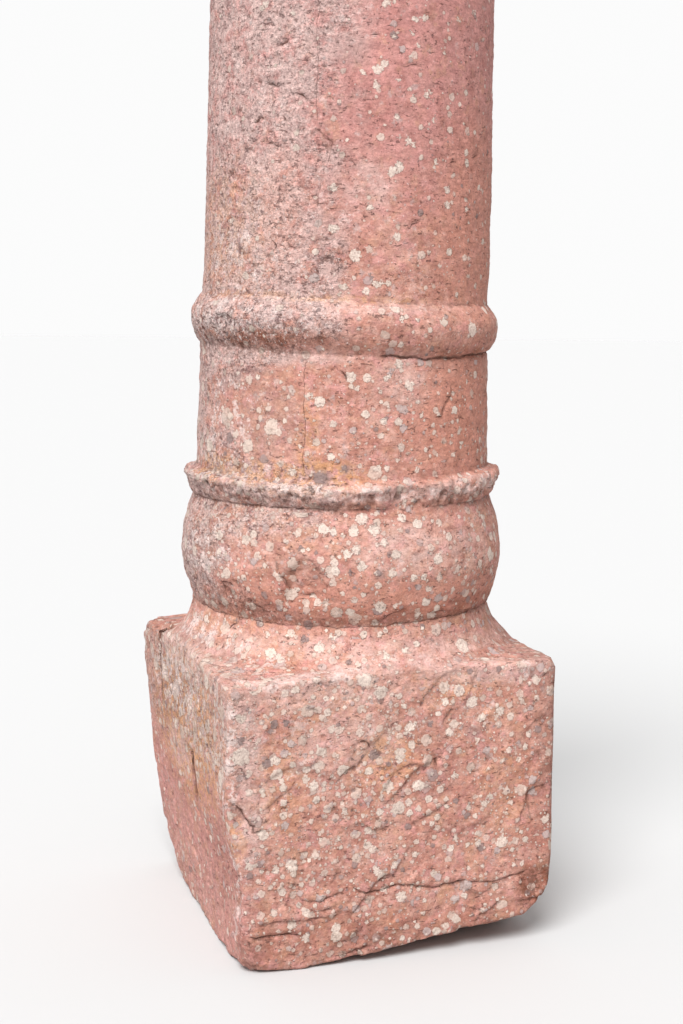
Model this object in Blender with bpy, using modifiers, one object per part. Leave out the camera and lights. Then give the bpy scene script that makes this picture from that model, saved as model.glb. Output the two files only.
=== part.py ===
"""The foot of a weathered red sandstone column, all carved from one block.

A plain shaft stands on a roll, a drum, a thin annulet, a torus and a flare, and the flare spreads
onto a square plinth. The stone is worn, chipped and partly broken, and is modelled as it stands.
Metres, +Z up the column's axis, origin at the centre of the flat underside, front face towards -Y.
"""

import math

import bmesh
import bpy
from mathutils import Vector, noise

# Driving sizes: heights are above the underside, radii are from the column's axis
TOTAL_HEIGHT = 1.60
PLINTH_SIDE = 0.512
PLINTH_HEIGHT = 0.423

SHAFT_TOP_RADIUS = 0.2085
SHAFT_FOOT_RADIUS = 0.2175
SHAFT_ROWS = 4
SHAFT_SHIFT = 0.0018

ROLL_TOP = PLINTH_HEIGHT + 0.536
ROLL_MIDDLE = PLINTH_HEIGHT + 0.501
ROLL_BOTTOM = PLINTH_HEIGHT + 0.458
ROLL_RADIUS = 0.2342
ROLL_POWER = 1.8
ROLL_ROWS = 4
ROLL_TILT = 0.006
ROLL_HIGH_SIDE = math.radians(175)
ROLL_BLEND = 0.05

DRUM_TOP_RADIUS = 0.2195
DRUM_FOOT_RADIUS = 0.2240
DRUM_ROWS = 3
DRUM_SHIFT = -0.001
DRUM_BLEND = 0.06

ANNULET_TOP = PLINTH_HEIGHT + 0.286
ANNULET_TIP = PLINTH_HEIGHT + 0.260
ANNULET_BOTTOM = PLINTH_HEIGHT + 0.236
ANNULET_RADIUS = 0.2445
ANNULET_ROWS = 3
LIP_THICKNESS = 0.009
LIP_UNDERCUT = 0.007
LIP_HOLLOW = 0.010
LIP_REACH = 0.020
LIP_WEAR = 0.007
LIP_DROP = 0.005
LIP_RAGGED_LENGTH = 0.045

TORUS_MIDDLE = PLINTH_HEIGHT + 0.143
TORUS_BOTTOM = PLINTH_HEIGHT + 0.067
TORUS_RADIUS = 0.2475
TORUS_TOP_RADIUS = 0.2275
TORUS_BOTTOM_RADIUS = 0.2280
TORUS_UPPER_POWER = 1.9
TORUS_LOWER_POWER = 1.5
TORUS_ROWS = 6

FLARE_BEND_RADIUS = 0.2340
FLARE_BEND_HEIGHT = PLINTH_HEIGHT + 0.0333
FLARE_FOOT_RADIUS = 0.268
FLARE_FOOT_HEIGHT = PLINTH_HEIGHT + 0.0085
FLARE_ROWS = 6
FLARE_SHIFT = 0.009
APRON_RADIUS = 0.340
APRON_HEIGHT = PLINTH_HEIGHT - 0.006
TOP_LIFT = 0.004
TOP_RISE = 0.009

TURNED_STEPS = 80
TURNED_FOOT = 0.38
WOBBLE = 0.0012
WOBBLE_LENGTH = 0.16

# The plinth's faces: the left one leans in, the front one is slightly twisted
FRONT_LEFT_LEAN = 0.028
FRONT_LEFT_LEAN_TOP = 0.27
FRONT_LEFT_LEAN_BOTTOM = 0.10
BACK_LEFT_LEAN = 0.046
BACK_LEFT_LEAN_POWER = 1.4
FRONT_TWIST = 0.010
BACK_LEAN = 0.010
FACE_LEVELS = 7
ARRIS_ROUND = 0.009
LOWER_ROUND = 0.007

# How far one solid runs past another before they are joined or cut
OVERLAP = 0.03

# The front face has flaked off below this crack, given as x and height
FLAKE_CRACK = (
    (-0.30, 0.069),
    (-0.225, 0.061),
    (-0.135, 0.049),
    (-0.065, 0.067),
    (-0.030, 0.091),
    (0.008, 0.105),
    (0.060, 0.098),
    (0.110, 0.102),
    (0.140, 0.097),
    (0.195, 0.103),
    (0.30, 0.115),
)
FLAKE_DEPTH = 0.008

# Where the lower arrises are broken away: a point of each break and its slope, facing the stone
BREAKS = (
    # name, point, normal
    ("long_lower_break", (-0.145, -0.256, 0.0), (-0.13, 0.45, 1.0)),
    ("corner_lower_break", (0.148, -0.256, 0.0), (-0.74, 0.50, 1.0)),
    ("front_left_foot_break", (-0.180, -0.256, 0.0), (0.9, 1.0, 1.3)),
    ("back_left_foot_break", (-0.186, 0.250, 0.0), (1.0, -0.22, 0.42)),
)
BREAK_THICKNESS = 0.2
BREAK_WIDTH = 1.2

# Hollows knocked out of the turned mouldings
ROUND_CHIPS = (
    # name, angle in degrees, height, radius at its middle, half length, half height, half depth
    ("lip_front_break", -93, 0.664, 0.2500, 0.046, 0.019, 0.0160),
    ("lip_front_notch", -89, 0.688, 0.2530, 0.020, 0.016, 0.0150),
    ("lip_left_break", -134, 0.668, 0.2500, 0.026, 0.011, 0.0125),
    ("lip_left_notch", -149, 0.668, 0.2500, 0.017, 0.013, 0.0130),
    ("lip_right_gap", -65, 0.679, 0.2510, 0.010, 0.028, 0.0160),
    ("lip_side_break", -12, 0.670, 0.2500, 0.034, 0.015, 0.0140),
    ("lip_back_break", 62, 0.674, 0.2530, 0.070, 0.026, 0.0180),
    ("lip_back_notch", 118, 0.670, 0.2510, 0.030, 0.016, 0.0140),
    ("roll_left_hollow", -160, 0.902, 0.2600, 0.085, 0.040, 0.0340),
    ("roll_front_hollow", -84, 0.936, 0.2600, 0.060, 0.030, 0.0280),
    ("roll_back_hollow", 84, 0.925, 0.2600, 0.090, 0.036, 0.0300),
    ("torus_front_flake", -122, 0.528, 0.2740, 0.062, 0.074, 0.0410),
    ("torus_side_flake", -20, 0.520, 0.2760, 0.100, 0.045, 0.0410),
    ("torus_right_flake", -64, 0.510, 0.2720, 0.085, 0.034, 0.0365),
    ("torus_left_hollow", -151, 0.523, 0.2700, 0.055, 0.036, 0.0330),
    ("torus_neck_wear", 166, 0.494, 0.2620, 0.110, 0.040, 0.0400),
    ("torus_back_flake", 100, 0.563, 0.2900, 0.120, 0.070, 0.0500),
)

# Hollows knocked out of the plinth
BLOCK_CHIPS = (
    # name, centre, half sizes
    ("arris_middle_chip", (-0.250, -0.264, 0.171), (0.018, 0.015, 0.026)),
    ("arris_upper_chip", (-0.266, -0.271, 0.352), (0.017, 0.015, 0.022)),
    ("top_left_edge_wear", (-0.280, 0.162, 0.446), (0.060, 0.060, 0.036)),
    ("front_corner_wear", (-0.270, -0.275, 0.450), (0.090, 0.090, 0.036)),
    ("back_left_corner_wear", (-0.296, 0.281, 0.463), (0.080, 0.080, 0.080)),
    ("front_right_corner_wear", (0.272, -0.268, 0.449), (0.042, 0.042, 0.040)),
    ("left_face_slit", (-0.256, -0.047, 0.279), (0.018, 0.0035, 0.056)),
    ("left_slab_crack", (-0.258, 0.152, 0.360), (0.016, 0.0035, 0.080)),
    ("back_corner_chip", (0.266, 0.266, 0.400), (0.040, 0.036, 0.050)),
    ("back_low_chip", (0.060, 0.270, 0.008), (0.090, 0.034, 0.036)),
    ("right_low_chip", (0.272, 0.080, 0.006), (0.036, 0.070, 0.030)),
)
CHIP_SUBDIVISIONS = 3
CHIP_ROUGHNESS = 0.30
CHIP_LUMPS = 1.6

STONE_COLOUR = (0.56, 0.30, 0.24, 1.0)
STONE_ROUGHNESS = 0.9
SMOOTH_ANGLE = math.radians(38)


def clear_scene():
    """Removes every object, so that the script gives the same result each time."""
    for thing in list(bpy.data.objects):
        bpy.data.objects.remove(thing)


def new_collection(name):
    """A collection of that name in the scene."""
    collection = bpy.data.collections.new(name)
    bpy.context.scene.collection.children.link(collection)
    return collection


def object_from(build, name, collection):
    """An object whose mesh the function build makes in a bmesh."""
    shape = bmesh.new()
    build(shape)
    mesh = bpy.data.meshes.new(name)
    shape.to_mesh(mesh)
    shape.free()
    thing = bpy.data.objects.new(name, mesh)
    collection.objects.link(thing)
    return thing


def as_mesh(thing, name):
    """A new mesh of an object as its modifiers leave it, with doubled points made one."""
    evaluated = thing.evaluated_get(bpy.context.evaluated_depsgraph_get())
    mesh = bpy.data.meshes.new_from_object(evaluated)
    mesh.name = name
    shape = bmesh.new()
    shape.from_mesh(mesh)
    bmesh.ops.remove_doubles(shape, verts=shape.verts, dist=0.00001)
    shape.to_mesh(mesh)
    shape.free()
    return mesh


def hide(cutter):
    """Leaves a cutter out of the model: it only shapes the stone."""
    cutter.hide_render = True
    cutter.display_type = "WIRE"


def combine(thing, cutter, operation):
    """Adds a Boolean that joins a solid to the thing, or cuts the thing with it."""
    boolean = thing.modifiers.new(cutter.name, "BOOLEAN")
    boolean.operation = operation
    boolean.solver = "EXACT"
    boolean.object = cutter
    hide(cutter)


def smoothstep(value):
    """A smooth rise from 0 to 1 as the value goes from 0 to 1."""
    value = min(max(value, 0.0), 1.0)
    return value * value * (3.0 - 2.0 * value)


def straight(start, end, rows):
    """Points on a straight line, without its last one."""
    return [Vector(start).lerp(Vector(end), row / rows) for row in range(rows)]


def bend(start, middle, end, rows):
    """Points on a curve that leaves start towards middle and reaches end from it, without the last."""
    points = []
    for row in range(rows):
        share = row / rows
        first = Vector(start).lerp(Vector(middle), share)
        second = Vector(middle).lerp(Vector(end), share)
        points.append(first.lerp(second, share))
    return points


def swelling(top, middle, bottom, radius, upper_power, lower_power, rows):
    """A rounded moulding between two necks, from its top point down, without its last point."""
    points = []
    upper = (top, upper_power, range(rows, 0, -1))
    lower = (bottom, lower_power, range(rows))
    for neck, power, row_order in (upper, lower):
        for row in row_order:
            away = row / rows
            out = neck[0] + (radius - neck[0]) * (1 - away**power)
            points.append((out, middle + (neck[1] - middle) * away))
    return points


def annulet_section():
    """The annulet: a hollow slope out to a thin lip, which is undercut."""
    top = (DRUM_FOOT_RADIUS, ANNULET_TOP)
    tip = (ANNULET_RADIUS, ANNULET_TIP + LIP_THICKNESS / 3)
    slope_foot = (DRUM_FOOT_RADIUS, tip[1] + LIP_HOLLOW)
    under_tip = (ANNULET_RADIUS, tip[1] - LIP_THICKNESS)
    under_bend = (ANNULET_RADIUS - LIP_UNDERCUT, ANNULET_BOTTOM)
    foot = (TORUS_TOP_RADIUS, ANNULET_BOTTOM)
    slope = bend(top, slope_foot, tip, ANNULET_ROWS)
    underside = bend(under_tip, under_bend, foot, ANNULET_ROWS)
    return slope + [tip] + underside


def column_profile():
    """The whole turned outline as radius and height, from the top bed down its outer side."""
    profile = [(0.0, TOTAL_HEIGHT)]
    shaft_foot = (SHAFT_FOOT_RADIUS, ROLL_TOP)
    drum_top = (DRUM_TOP_RADIUS, ROLL_BOTTOM)
    torus_top = (TORUS_TOP_RADIUS, ANNULET_BOTTOM)
    flare_start = (TORUS_BOTTOM_RADIUS, TORUS_BOTTOM)
    profile += straight((SHAFT_TOP_RADIUS, TOTAL_HEIGHT), shaft_foot, SHAFT_ROWS)
    profile += swelling(shaft_foot, ROLL_MIDDLE, drum_top, ROLL_RADIUS, ROLL_POWER, ROLL_POWER, ROLL_ROWS)
    profile += straight(drum_top, (DRUM_FOOT_RADIUS, ANNULET_TOP), DRUM_ROWS)
    profile += annulet_section()
    powers = (TORUS_UPPER_POWER, TORUS_LOWER_POWER)
    profile += swelling(torus_top, TORUS_MIDDLE, flare_start, TORUS_RADIUS, *powers, TORUS_ROWS)
    flare_bend = (FLARE_BEND_RADIUS, FLARE_BEND_HEIGHT)
    flare_end = (FLARE_FOOT_RADIUS, FLARE_FOOT_HEIGHT)
    profile += bend(flare_start, flare_bend, flare_end, FLARE_ROWS)
    profile += [flare_end, (APRON_RADIUS, APRON_HEIGHT), (APRON_RADIUS, TURNED_FOOT), (0.0, TURNED_FOOT)]
    return profile


def turn_column(collection):
    """The turned body: the outline swept round the axis."""
    profile = column_profile()
    mesh = bpy.data.meshes.new("turned_profile")
    edges = [(index, index + 1) for index in range(len(profile) - 1)]
    mesh.from_pydata([(radius, 0.0, height) for radius, height in profile], edges, [])
    turned = bpy.data.objects.new("turned_profile", mesh)
    collection.objects.link(turned)
    screw = turned.modifiers.new("sweep", "SCREW")
    screw.steps = TURNED_STEPS
    screw.render_steps = TURNED_STEPS
    screw.use_merge_vertices = True
    screw.merge_threshold = 0.0001
    return turned


def weather_round(mesh):
    """Tilts the roll and takes the turned body out of true, as a hand-cut worn column is."""
    middle = (ROLL_TOP + ROLL_BOTTOM) / 2
    reach = (ROLL_TOP - ROLL_BOTTOM) / 2 + ROLL_BLEND
    for point in mesh.vertices:
        place = point.co
        angle = math.atan2(place.y, place.x)
        near_roll = smoothstep((reach - abs(place.z - middle)) / ROLL_BLEND)
        near_lip = smoothstep(1 - abs(place.z - ANNULET_TIP) / LIP_REACH)
        ragged = noise.noise(place / LIP_RAGGED_LENGTH)
        wave = noise.noise(place / WOBBLE_LENGTH)
        grow = 1 + (WOBBLE * wave - LIP_WEAR * near_lip * max(ragged, 0.0)) / SHAFT_TOP_RADIUS
        place.x *= grow
        place.y *= grow
        on_drum = smoothstep((place.z - TORUS_MIDDLE) / DRUM_BLEND)
        on_shaft = smoothstep((place.z - ROLL_TOP) / ROLL_BLEND)
        place.x += DRUM_SHIFT * (on_drum - on_shaft) + SHAFT_SHIFT * on_shaft
        spread = smoothstep((TORUS_BOTTOM - place.z) / (TORUS_BOTTOM - PLINTH_HEIGHT))
        place.x += FLARE_SHIFT * spread
        place.y += FLARE_SHIFT * spread
        place.z += near_roll * ROLL_TILT * math.cos(angle - ROLL_HIGH_SIDE) + near_lip * LIP_DROP * ragged


def make_column(collection, cutters):
    """The named stone, first as its turned body alone."""
    turned = turn_column(cutters)
    mesh = as_mesh(turned, "column")
    bpy.data.objects.remove(turned)
    weather_round(mesh)
    column = bpy.data.objects.new("column", mesh)
    collection.objects.link(column)
    return column


def make_block(cutters):
    """The rough block that the turned body stands in, its top rising a little to the right."""

    def build(shape):
        bmesh.ops.create_cube(shape, size=1.0)
        side = max(PLINTH_SIDE, 2 * APRON_RADIUS) + 2 * OVERLAP
        bmesh.ops.scale(shape, vec=(side, side, PLINTH_HEIGHT + OVERLAP), verts=shape.verts)
        lift = (PLINTH_HEIGHT - OVERLAP) / 2
        bmesh.ops.translate(shape, vec=(0.0, 0.0, lift), verts=shape.verts)
        for point in shape.verts:
            if point.co.z > 0:
                point.co.z += TOP_LIFT + TOP_RISE * point.co.x / PLINTH_SIDE

    return object_from(build, "rough_block", cutters)


def lean_faces(shape):
    """Moves the block's corners as its faces have settled, split and weathered."""
    for point in shape.verts:
        left = 0.5 - point.co.x / PLINTH_SIDE
        right = 1 - left
        front = 0.5 - point.co.y / PLINTH_SIDE
        back = 1 - front
        height = min(point.co.z, PLINTH_HEIGHT)
        fall = (FRONT_LEFT_LEAN_TOP - height) / (FRONT_LEFT_LEAN_TOP - FRONT_LEFT_LEAN_BOTTOM)
        depth = 1 - height / PLINTH_HEIGHT
        front_lean = FRONT_LEFT_LEAN * smoothstep(fall)
        back_lean = BACK_LEFT_LEAN * depth**BACK_LEFT_LEAN_POWER
        point.co.x += left * (front * front_lean + back * back_lean)
        point.co.x -= right * BACK_LEAN * depth * back
        point.co.y += front * FRONT_TWIST * (right - left) * (1 - depth)
        point.co.y -= back * BACK_LEAN * depth


def make_faces(cutters):
    """The plinth's four faces and its underside, as a tall closed solid that trims the stone."""

    def build(shape):
        bmesh.ops.create_cube(shape, size=1.0)
        tall = TOTAL_HEIGHT + OVERLAP
        bmesh.ops.scale(shape, vec=(PLINTH_SIDE, PLINTH_SIDE, tall), verts=shape.verts)
        bmesh.ops.translate(shape, vec=(0.0, 0.0, tall / 2), verts=shape.verts)
        for level in range(1, FACE_LEVELS + 1):
            height = PLINTH_HEIGHT * level / FACE_LEVELS
            parts = shape.verts[:] + shape.edges[:] + shape.faces[:]
            bmesh.ops.bisect_plane(shape, geom=parts, plane_co=(0, 0, height), plane_no=(0, 0, 1))
        lean_faces(shape)
        weights = shape.edges.layers.float.new("bevel_weight_edge")
        for edge in shape.edges:
            low = max(point.co.z for point in edge.verts) < OVERLAP / 2
            upright = abs(edge.verts[0].co.z - edge.verts[1].co.z) > OVERLAP / 2
            if low:
                edge[weights] = LOWER_ROUND / ARRIS_ROUND
            elif upright:
                edge[weights] = 1.0

    faces = object_from(build, "plinth_faces", cutters)
    rounding = faces.modifiers.new("worn_edges", "BEVEL")
    rounding.width = ARRIS_ROUND
    rounding.segments = 3
    rounding.limit_method = "WEIGHT"
    return faces


def make_flake(cutters):
    """The slab that has come off the lower front face, up to its crack."""
    outline = list(FLAKE_CRACK)
    outline.append((FLAKE_CRACK[-1][0], -OVERLAP))
    outline.append((FLAKE_CRACK[0][0], -OVERLAP))
    curve = bpy.data.curves.new("flake_outline", "CURVE")
    curve.dimensions = "2D"
    curve.fill_mode = "BOTH"
    curve.extrude = OVERLAP
    line = curve.splines.new("POLY")
    line.points.add(len(outline) - 1)
    for point, (across, height) in zip(line.points, outline):
        point.co = (across, height, 0.0, 1.0)
    line.use_cyclic_u = True
    drawn = bpy.data.objects.new("flake_outline", curve)
    cutters.objects.link(drawn)
    flake = bpy.data.objects.new("front_flake", as_mesh(drawn, "front_flake"))
    bpy.data.objects.remove(drawn)
    flake.rotation_euler = (math.radians(90), 0.0, 0.0)
    flake.location = (0.0, -PLINTH_SIDE / 2 + FLAKE_DEPTH - OVERLAP, 0.0)
    cutters.objects.link(flake)
    return flake


def make_break(name, point, normal, cutters):
    """A large box whose top face is the broken plane, with the stone that stays above it."""

    def build(shape):
        bmesh.ops.create_cube(shape, size=1.0)
        sizes = (BREAK_WIDTH, BREAK_WIDTH, BREAK_THICKNESS)
        bmesh.ops.scale(shape, vec=sizes, verts=shape.verts)

    box = object_from(build, name, cutters)
    up = Vector(normal).normalized()
    box.rotation_mode = "QUATERNION"
    box.rotation_quaternion = up.to_track_quat("Z", "Y")
    box.location = Vector(point) - up * BREAK_THICKNESS / 2
    return box


def make_chip(name, centre, sizes, turn, cutters):
    """A flattened lumpy ball that knocks a hollow out of the stone."""

    def build(shape):
        bmesh.ops.create_icosphere(shape, subdivisions=CHIP_SUBDIVISIONS, radius=1.0)
        for point in shape.verts:
            lump = noise.noise(point.co * CHIP_LUMPS + Vector(centre) / WOBBLE_LENGTH)
            point.co *= 1 + CHIP_ROUGHNESS * lump
        bmesh.ops.scale(shape, vec=sizes, verts=shape.verts)

    chip = object_from(build, name, cutters)
    chip.rotation_euler = (0.0, 0.0, turn)
    chip.location = centre
    return chip


def knock_chips(column, cutters):
    """Cuts every chip and hollow into the stone."""
    for name, degrees, height, radius, length, tall, deep in ROUND_CHIPS:
        angle = math.radians(degrees)
        centre = (radius * math.cos(angle), radius * math.sin(angle), height)
        chip = make_chip(name, centre, (deep, length, tall), angle, cutters)
        combine(column, chip, "DIFFERENCE")
    for name, centre, sizes in BLOCK_CHIPS:
        chip = make_chip(name, centre, sizes, 0.0, cutters)
        combine(column, chip, "DIFFERENCE")


def stone_material():
    """Weathered red sandstone."""
    material = bpy.data.materials.new("stone")
    material.use_nodes = True
    shader = material.node_tree.nodes["Principled BSDF"]
    shader.inputs["Base Color"].default_value = STONE_COLOUR
    shader.inputs["Roughness"].default_value = STONE_ROUGHNESS
    shader.inputs["Metallic"].default_value = 0.0
    return material


def main():
    clear_scene()
    collection = new_collection("stone column")
    cutters = new_collection("cutters")
    column = make_column(collection, cutters)
    combine(column, make_block(cutters), "UNION")
    combine(column, make_faces(cutters), "INTERSECT")
    combine(column, make_flake(cutters), "DIFFERENCE")
    for name, point, normal in BREAKS:
        combine(column, make_break(name, point, normal, cutters), "DIFFERENCE")
    knock_chips(column, cutters)
    column.data.materials.append(stone_material())
    column.data.shade_smooth()
    column.data.set_sharp_from_angle(angle=SMOOTH_ANGLE)


main()
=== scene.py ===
"""The finished look of a weathered red sandstone column foot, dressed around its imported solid.

The stone is one mesh. Rings of points run from the top bed down over the mouldings, out across the
plinth's top, down its faces and under it. Breaks, chips, cracks, pits and the bedding of the stone
then move those points, and the mesh is thinned where it is smooth. Colours and lichen are procedural.
Metres, +Z up the column's axis, origin at the centre of the underside, front face towards -Y.
"""

import math

import bmesh
import bpy
import numpy as np
from mathutils import Matrix, Vector


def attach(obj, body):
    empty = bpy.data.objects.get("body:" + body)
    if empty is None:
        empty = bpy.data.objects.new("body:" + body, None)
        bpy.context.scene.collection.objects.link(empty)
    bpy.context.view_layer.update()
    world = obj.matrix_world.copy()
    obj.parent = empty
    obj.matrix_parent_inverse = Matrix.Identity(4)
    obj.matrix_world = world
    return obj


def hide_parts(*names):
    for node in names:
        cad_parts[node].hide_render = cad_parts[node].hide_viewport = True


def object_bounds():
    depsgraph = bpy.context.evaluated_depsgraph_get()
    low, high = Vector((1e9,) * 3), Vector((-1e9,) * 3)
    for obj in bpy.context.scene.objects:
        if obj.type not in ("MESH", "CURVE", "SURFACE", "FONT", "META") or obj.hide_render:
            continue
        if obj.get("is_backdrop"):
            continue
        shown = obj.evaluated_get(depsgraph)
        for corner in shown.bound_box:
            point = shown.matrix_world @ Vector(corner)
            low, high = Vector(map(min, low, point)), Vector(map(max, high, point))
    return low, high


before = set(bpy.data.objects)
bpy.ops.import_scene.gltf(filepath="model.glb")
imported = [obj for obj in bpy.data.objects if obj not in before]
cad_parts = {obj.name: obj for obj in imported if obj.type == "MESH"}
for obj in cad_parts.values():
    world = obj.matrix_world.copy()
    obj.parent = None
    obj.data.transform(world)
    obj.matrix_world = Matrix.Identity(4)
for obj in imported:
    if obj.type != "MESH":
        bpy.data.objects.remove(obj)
CAD_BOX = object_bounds()

# Driving sizes, the same as the solid's: heights above the underside, radii from the axis
TOTAL_HEIGHT = CAD_BOX[1].z
PLINTH_SIDE = 0.512
SHEET_RADIUS = 0.22
PLINTH_HEIGHT = 0.423
SHAFT_TOP_RADIUS = 0.2085
SHAFT_SEEN_TOP = 1.40
SHAFT_FOOT_RADIUS = 0.2175
ROLL_TOP = PLINTH_HEIGHT + 0.536
ROLL_MIDDLE = PLINTH_HEIGHT + 0.501
ROLL_BOTTOM = PLINTH_HEIGHT + 0.458
ROLL_RADIUS = 0.2342
DRUM_TOP_RADIUS = 0.2195
DRUM_FOOT_RADIUS = 0.2240
ANNULET_TOP = PLINTH_HEIGHT + 0.280
ANNULET_BOTTOM = PLINTH_HEIGHT + 0.236
ANNULET_RADIUS = 0.2445
TORUS_MIDDLE = PLINTH_HEIGHT + 0.143
TORUS_BOTTOM = PLINTH_HEIGHT + 0.067
TORUS_RADIUS = 0.2475
TORUS_TOP_RADIUS = 0.2275
TORUS_BOTTOM_RADIUS = 0.2280
FLARE_BEND = (0.2340, PLINTH_HEIGHT + 0.0333)
FLARE_FOOT = (0.268, PLINTH_HEIGHT + 0.0085)
APRON = (0.340, PLINTH_HEIGHT - 0.006)
FLARE_SHIFT = 0.009
DRUM_SHIFT = -0.001
SHAFT_SHIFT = 0.0018
TOP_LIFT = 0.004
TOP_RISE = 0.009

# The plinth's faces, which lean and twist as on the solid
FRONT_LEFT_LEAN = 0.028
FRONT_LEFT_LEAN_TOP = 0.27
FRONT_LEFT_LEAN_BOTTOM = 0.10
BACK_LEFT_LEAN = 0.046
BACK_LEFT_LEAN_POWER = 1.4
FRONT_TWIST = 0.010
BACK_LEAN = 0.010
ARRIS_ROUND = 0.008

# The camera that the photo's outline fits
CAMERA_PLACE = (-0.8705, -2.41, 0.966)
CAMERA_YAW = math.radians(19.86)
CAMERA_PITCH = math.radians(7.58)
CAMERA_ROLL = math.radians(1.08)
CAMERA_FOCAL_PIXELS = 1661
IMAGE_WIDTH = 683
IMAGE_HEIGHT = 1024
SENSOR = 36.0
FLOOR_SIZE = 60.0
FLOOR_PAINT = (0.53, 0.53, 0.53)
FLOOR_ROUGHNESS = 0.9
# How bright the surround is, by the height of a direction's end on a ball of radius 1
SURROUND = ((0.0, 0.97), (0.20, 0.97), (0.36, 0.50), (1.0, 1.05))
# The surround's darker side, how much darker it is there, and over which cosines from it that fades in
DARK_SIDE = (0.8, -0.6, 0.0)
DARK_SHARE = 0.5
DARK_FADE = (0.3, 0.9)
KEY_FROM = (-0.40, -0.52, 0.80)
KEY_ANGLE = math.radians(32)
KEY_STRENGTH = 4.2

# Columns of points: the sector's first corner in degrees, its stretch as shares, and how many
COLUMN_RUNS = (
    (-135, 0.0, 1.0, 236),
    (-45, 0.0, 0.35, 66),
    (-45, 0.35, 1.0, 40),
    (45, 0.0, 1.0, 56),
    (135, 0.0, 0.2, 16),
    (135, 0.2, 1.0, 168),
)
ROWS = {
    "bed": 6,
    "shaft_unseen": 30,
    "shaft": 230,
    "roll_upper": 28,
    "roll_lower": 32,
    "drum": 84,
    "annulet_slope": 20,
    "annulet_lip": 14,
    "annulet_underside": 12,
    "torus_upper": 54,
    "torus_lower": 48,
    "plinth_top": 56,
    "plinth_side": 220,
    "underside": 14,
}
TRIANGLES = 196000
HIDDEN_THINNING = 4.0
SEEN_WEIGHT = 0.2


# Small helpers for whole arrays of points


def smoothstep(value, low=0.0, high=1.0):
    """A smooth rise from 0 to 1 as the value goes from low to high."""
    share = np.clip((value - low) / (high - low), 0.0, 1.0)
    return share * share * (3.0 - 2.0 * share)


def bump(value, middle, reach):
    """1 at the middle, falling smoothly to 0 at that reach on both sides."""
    return smoothstep(1.0 - np.abs(value - middle) / reach)


def degrees_apart(angle, middle):
    """The signed difference of two angles in degrees, between -180 and 180."""
    return (angle - middle + 180.0) % 360.0 - 180.0


def around(angle, stops):
    """A value that varies round the axis: linear between the stops (degrees, value)."""
    places = np.array([stop[0] for stop in stops], float)
    values = np.array([stop[1] for stop in stops], float)
    return np.interp(angle, places, values, period=360.0)


class Noise:
    """Gradient noise in space, about -0.7 to 0.7, from one fixed seed."""

    def __init__(self, seed):
        random = np.random.default_rng(seed)
        self.table = random.permutation(256)
        around_unit = random.normal(size=(256, 3))
        self.slopes = around_unit / np.linalg.norm(around_unit, axis=1)[:, None]

    def pick(self, cell):
        """A fixed number from 0 to 255 for each whole-number cell."""
        first = self.table[cell[..., 0] & 255]
        second = self.table[(first + cell[..., 1]) & 255]
        return self.table[(second + cell[..., 2]) & 255]

    def at(self, points, size):
        """Noise at the points. The size of its lumps is one number or one for each direction."""
        place = points / np.asarray(size)
        cell = np.floor(place).astype(np.int64)
        inside = place - cell
        ease = inside**3 * (inside * (inside * 6 - 15) + 10)
        total = 0.0
        for corner in np.ndindex(2, 2, 2):
            slope = self.slopes[self.pick(cell + corner)]
            share = np.prod(np.where(corner, ease, 1 - ease), axis=-1)
            total = total + share * np.einsum("...i,...i", slope, inside - corner)
        return total

    def rough(self, points, size, octaves=3, fall=0.5):
        """Several sizes of noise added, each half the size of the last."""
        total = 0.0
        for octave in range(octaves):
            scaled = np.asarray(size) / 2**octave
            total = total + fall**octave * self.at(points + 1.7 * octave, scaled)
        return total

    def facets(self, points, size, tilt):
        """The height of a face split into flat chips that tilt at random, with a step round each."""
        place = points / size
        cell = np.floor(place).astype(np.int64)
        nearest = np.full(points.shape[:-1], np.inf)
        height = np.zeros(points.shape[:-1])
        for step in np.ndindex(3, 3, 3):
            near = cell + np.array(step) - 1
            mark = self.pick(near)
            centre = near + 0.5 + 0.45 * self.slopes[mark]
            gap = place - centre
            away = np.einsum("...i,...i", gap, gap)
            rise = np.einsum("...i,...i", self.slopes[(mark + 71) & 255], gap)
            closer = away < nearest
            nearest = np.where(closer, away, nearest)
            height = np.where(closer, rise, height)
        return height * size * tilt


LUMPS = Noise(11)
CHIPS = Noise(23)
BEDS = Noise(37)
PITS = Noise(41)


# Sheets laid over the stone, for the lines and patches that are placed one by one. A place on the front is
# (x, z), on the left face (y, z), on the plinth's top (x, y), and on the round body (degrees, z). All but
# the degrees are in millimetres.
MILLIMETRES = 1000


def sheet_point(sheet, place):
    """A place on a sheet in metres across it, to the right as seen, and up it."""
    across, up = place
    if sheet == "round":
        return math.radians(degrees_apart(across, -90.0)) * SHEET_RADIUS, up / MILLIMETRES
    return (-across if sheet == "left" else across) / MILLIMETRES, up / MILLIMETRES


def sheet_size(sheet, width):
    """A width on a sheet in metres."""
    return math.radians(width) * SHEET_RADIUS if sheet == "round" else width / MILLIMETRES


def lay_sheets(points):
    """For each sheet, every point's place across and up it, and whether the point lies on it."""
    across, deep, height = np.moveaxis(points, -1, 0)
    turned = np.arctan2(deep, across)
    around_front = np.radians(degrees_apart(np.degrees(turned), -90.0)) * SHEET_RADIUS
    depths = face_depths(points)
    on_block = height < PLINTH_HEIGHT + 0.012
    return {
        "front": (across, height, on_block & (depths[..., 2] < 0.026)),
        "left": (-deep, height, on_block & (depths[..., 0] < 0.026)),
        "top": (across, deep, (depths[..., 4] < 0.012) & (height < PLINTH_HEIGHT + 0.03)),
        "round": (around_front, height, height > PLINTH_HEIGHT + 0.02),
    }


# The undamaged form as a grid of points


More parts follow.
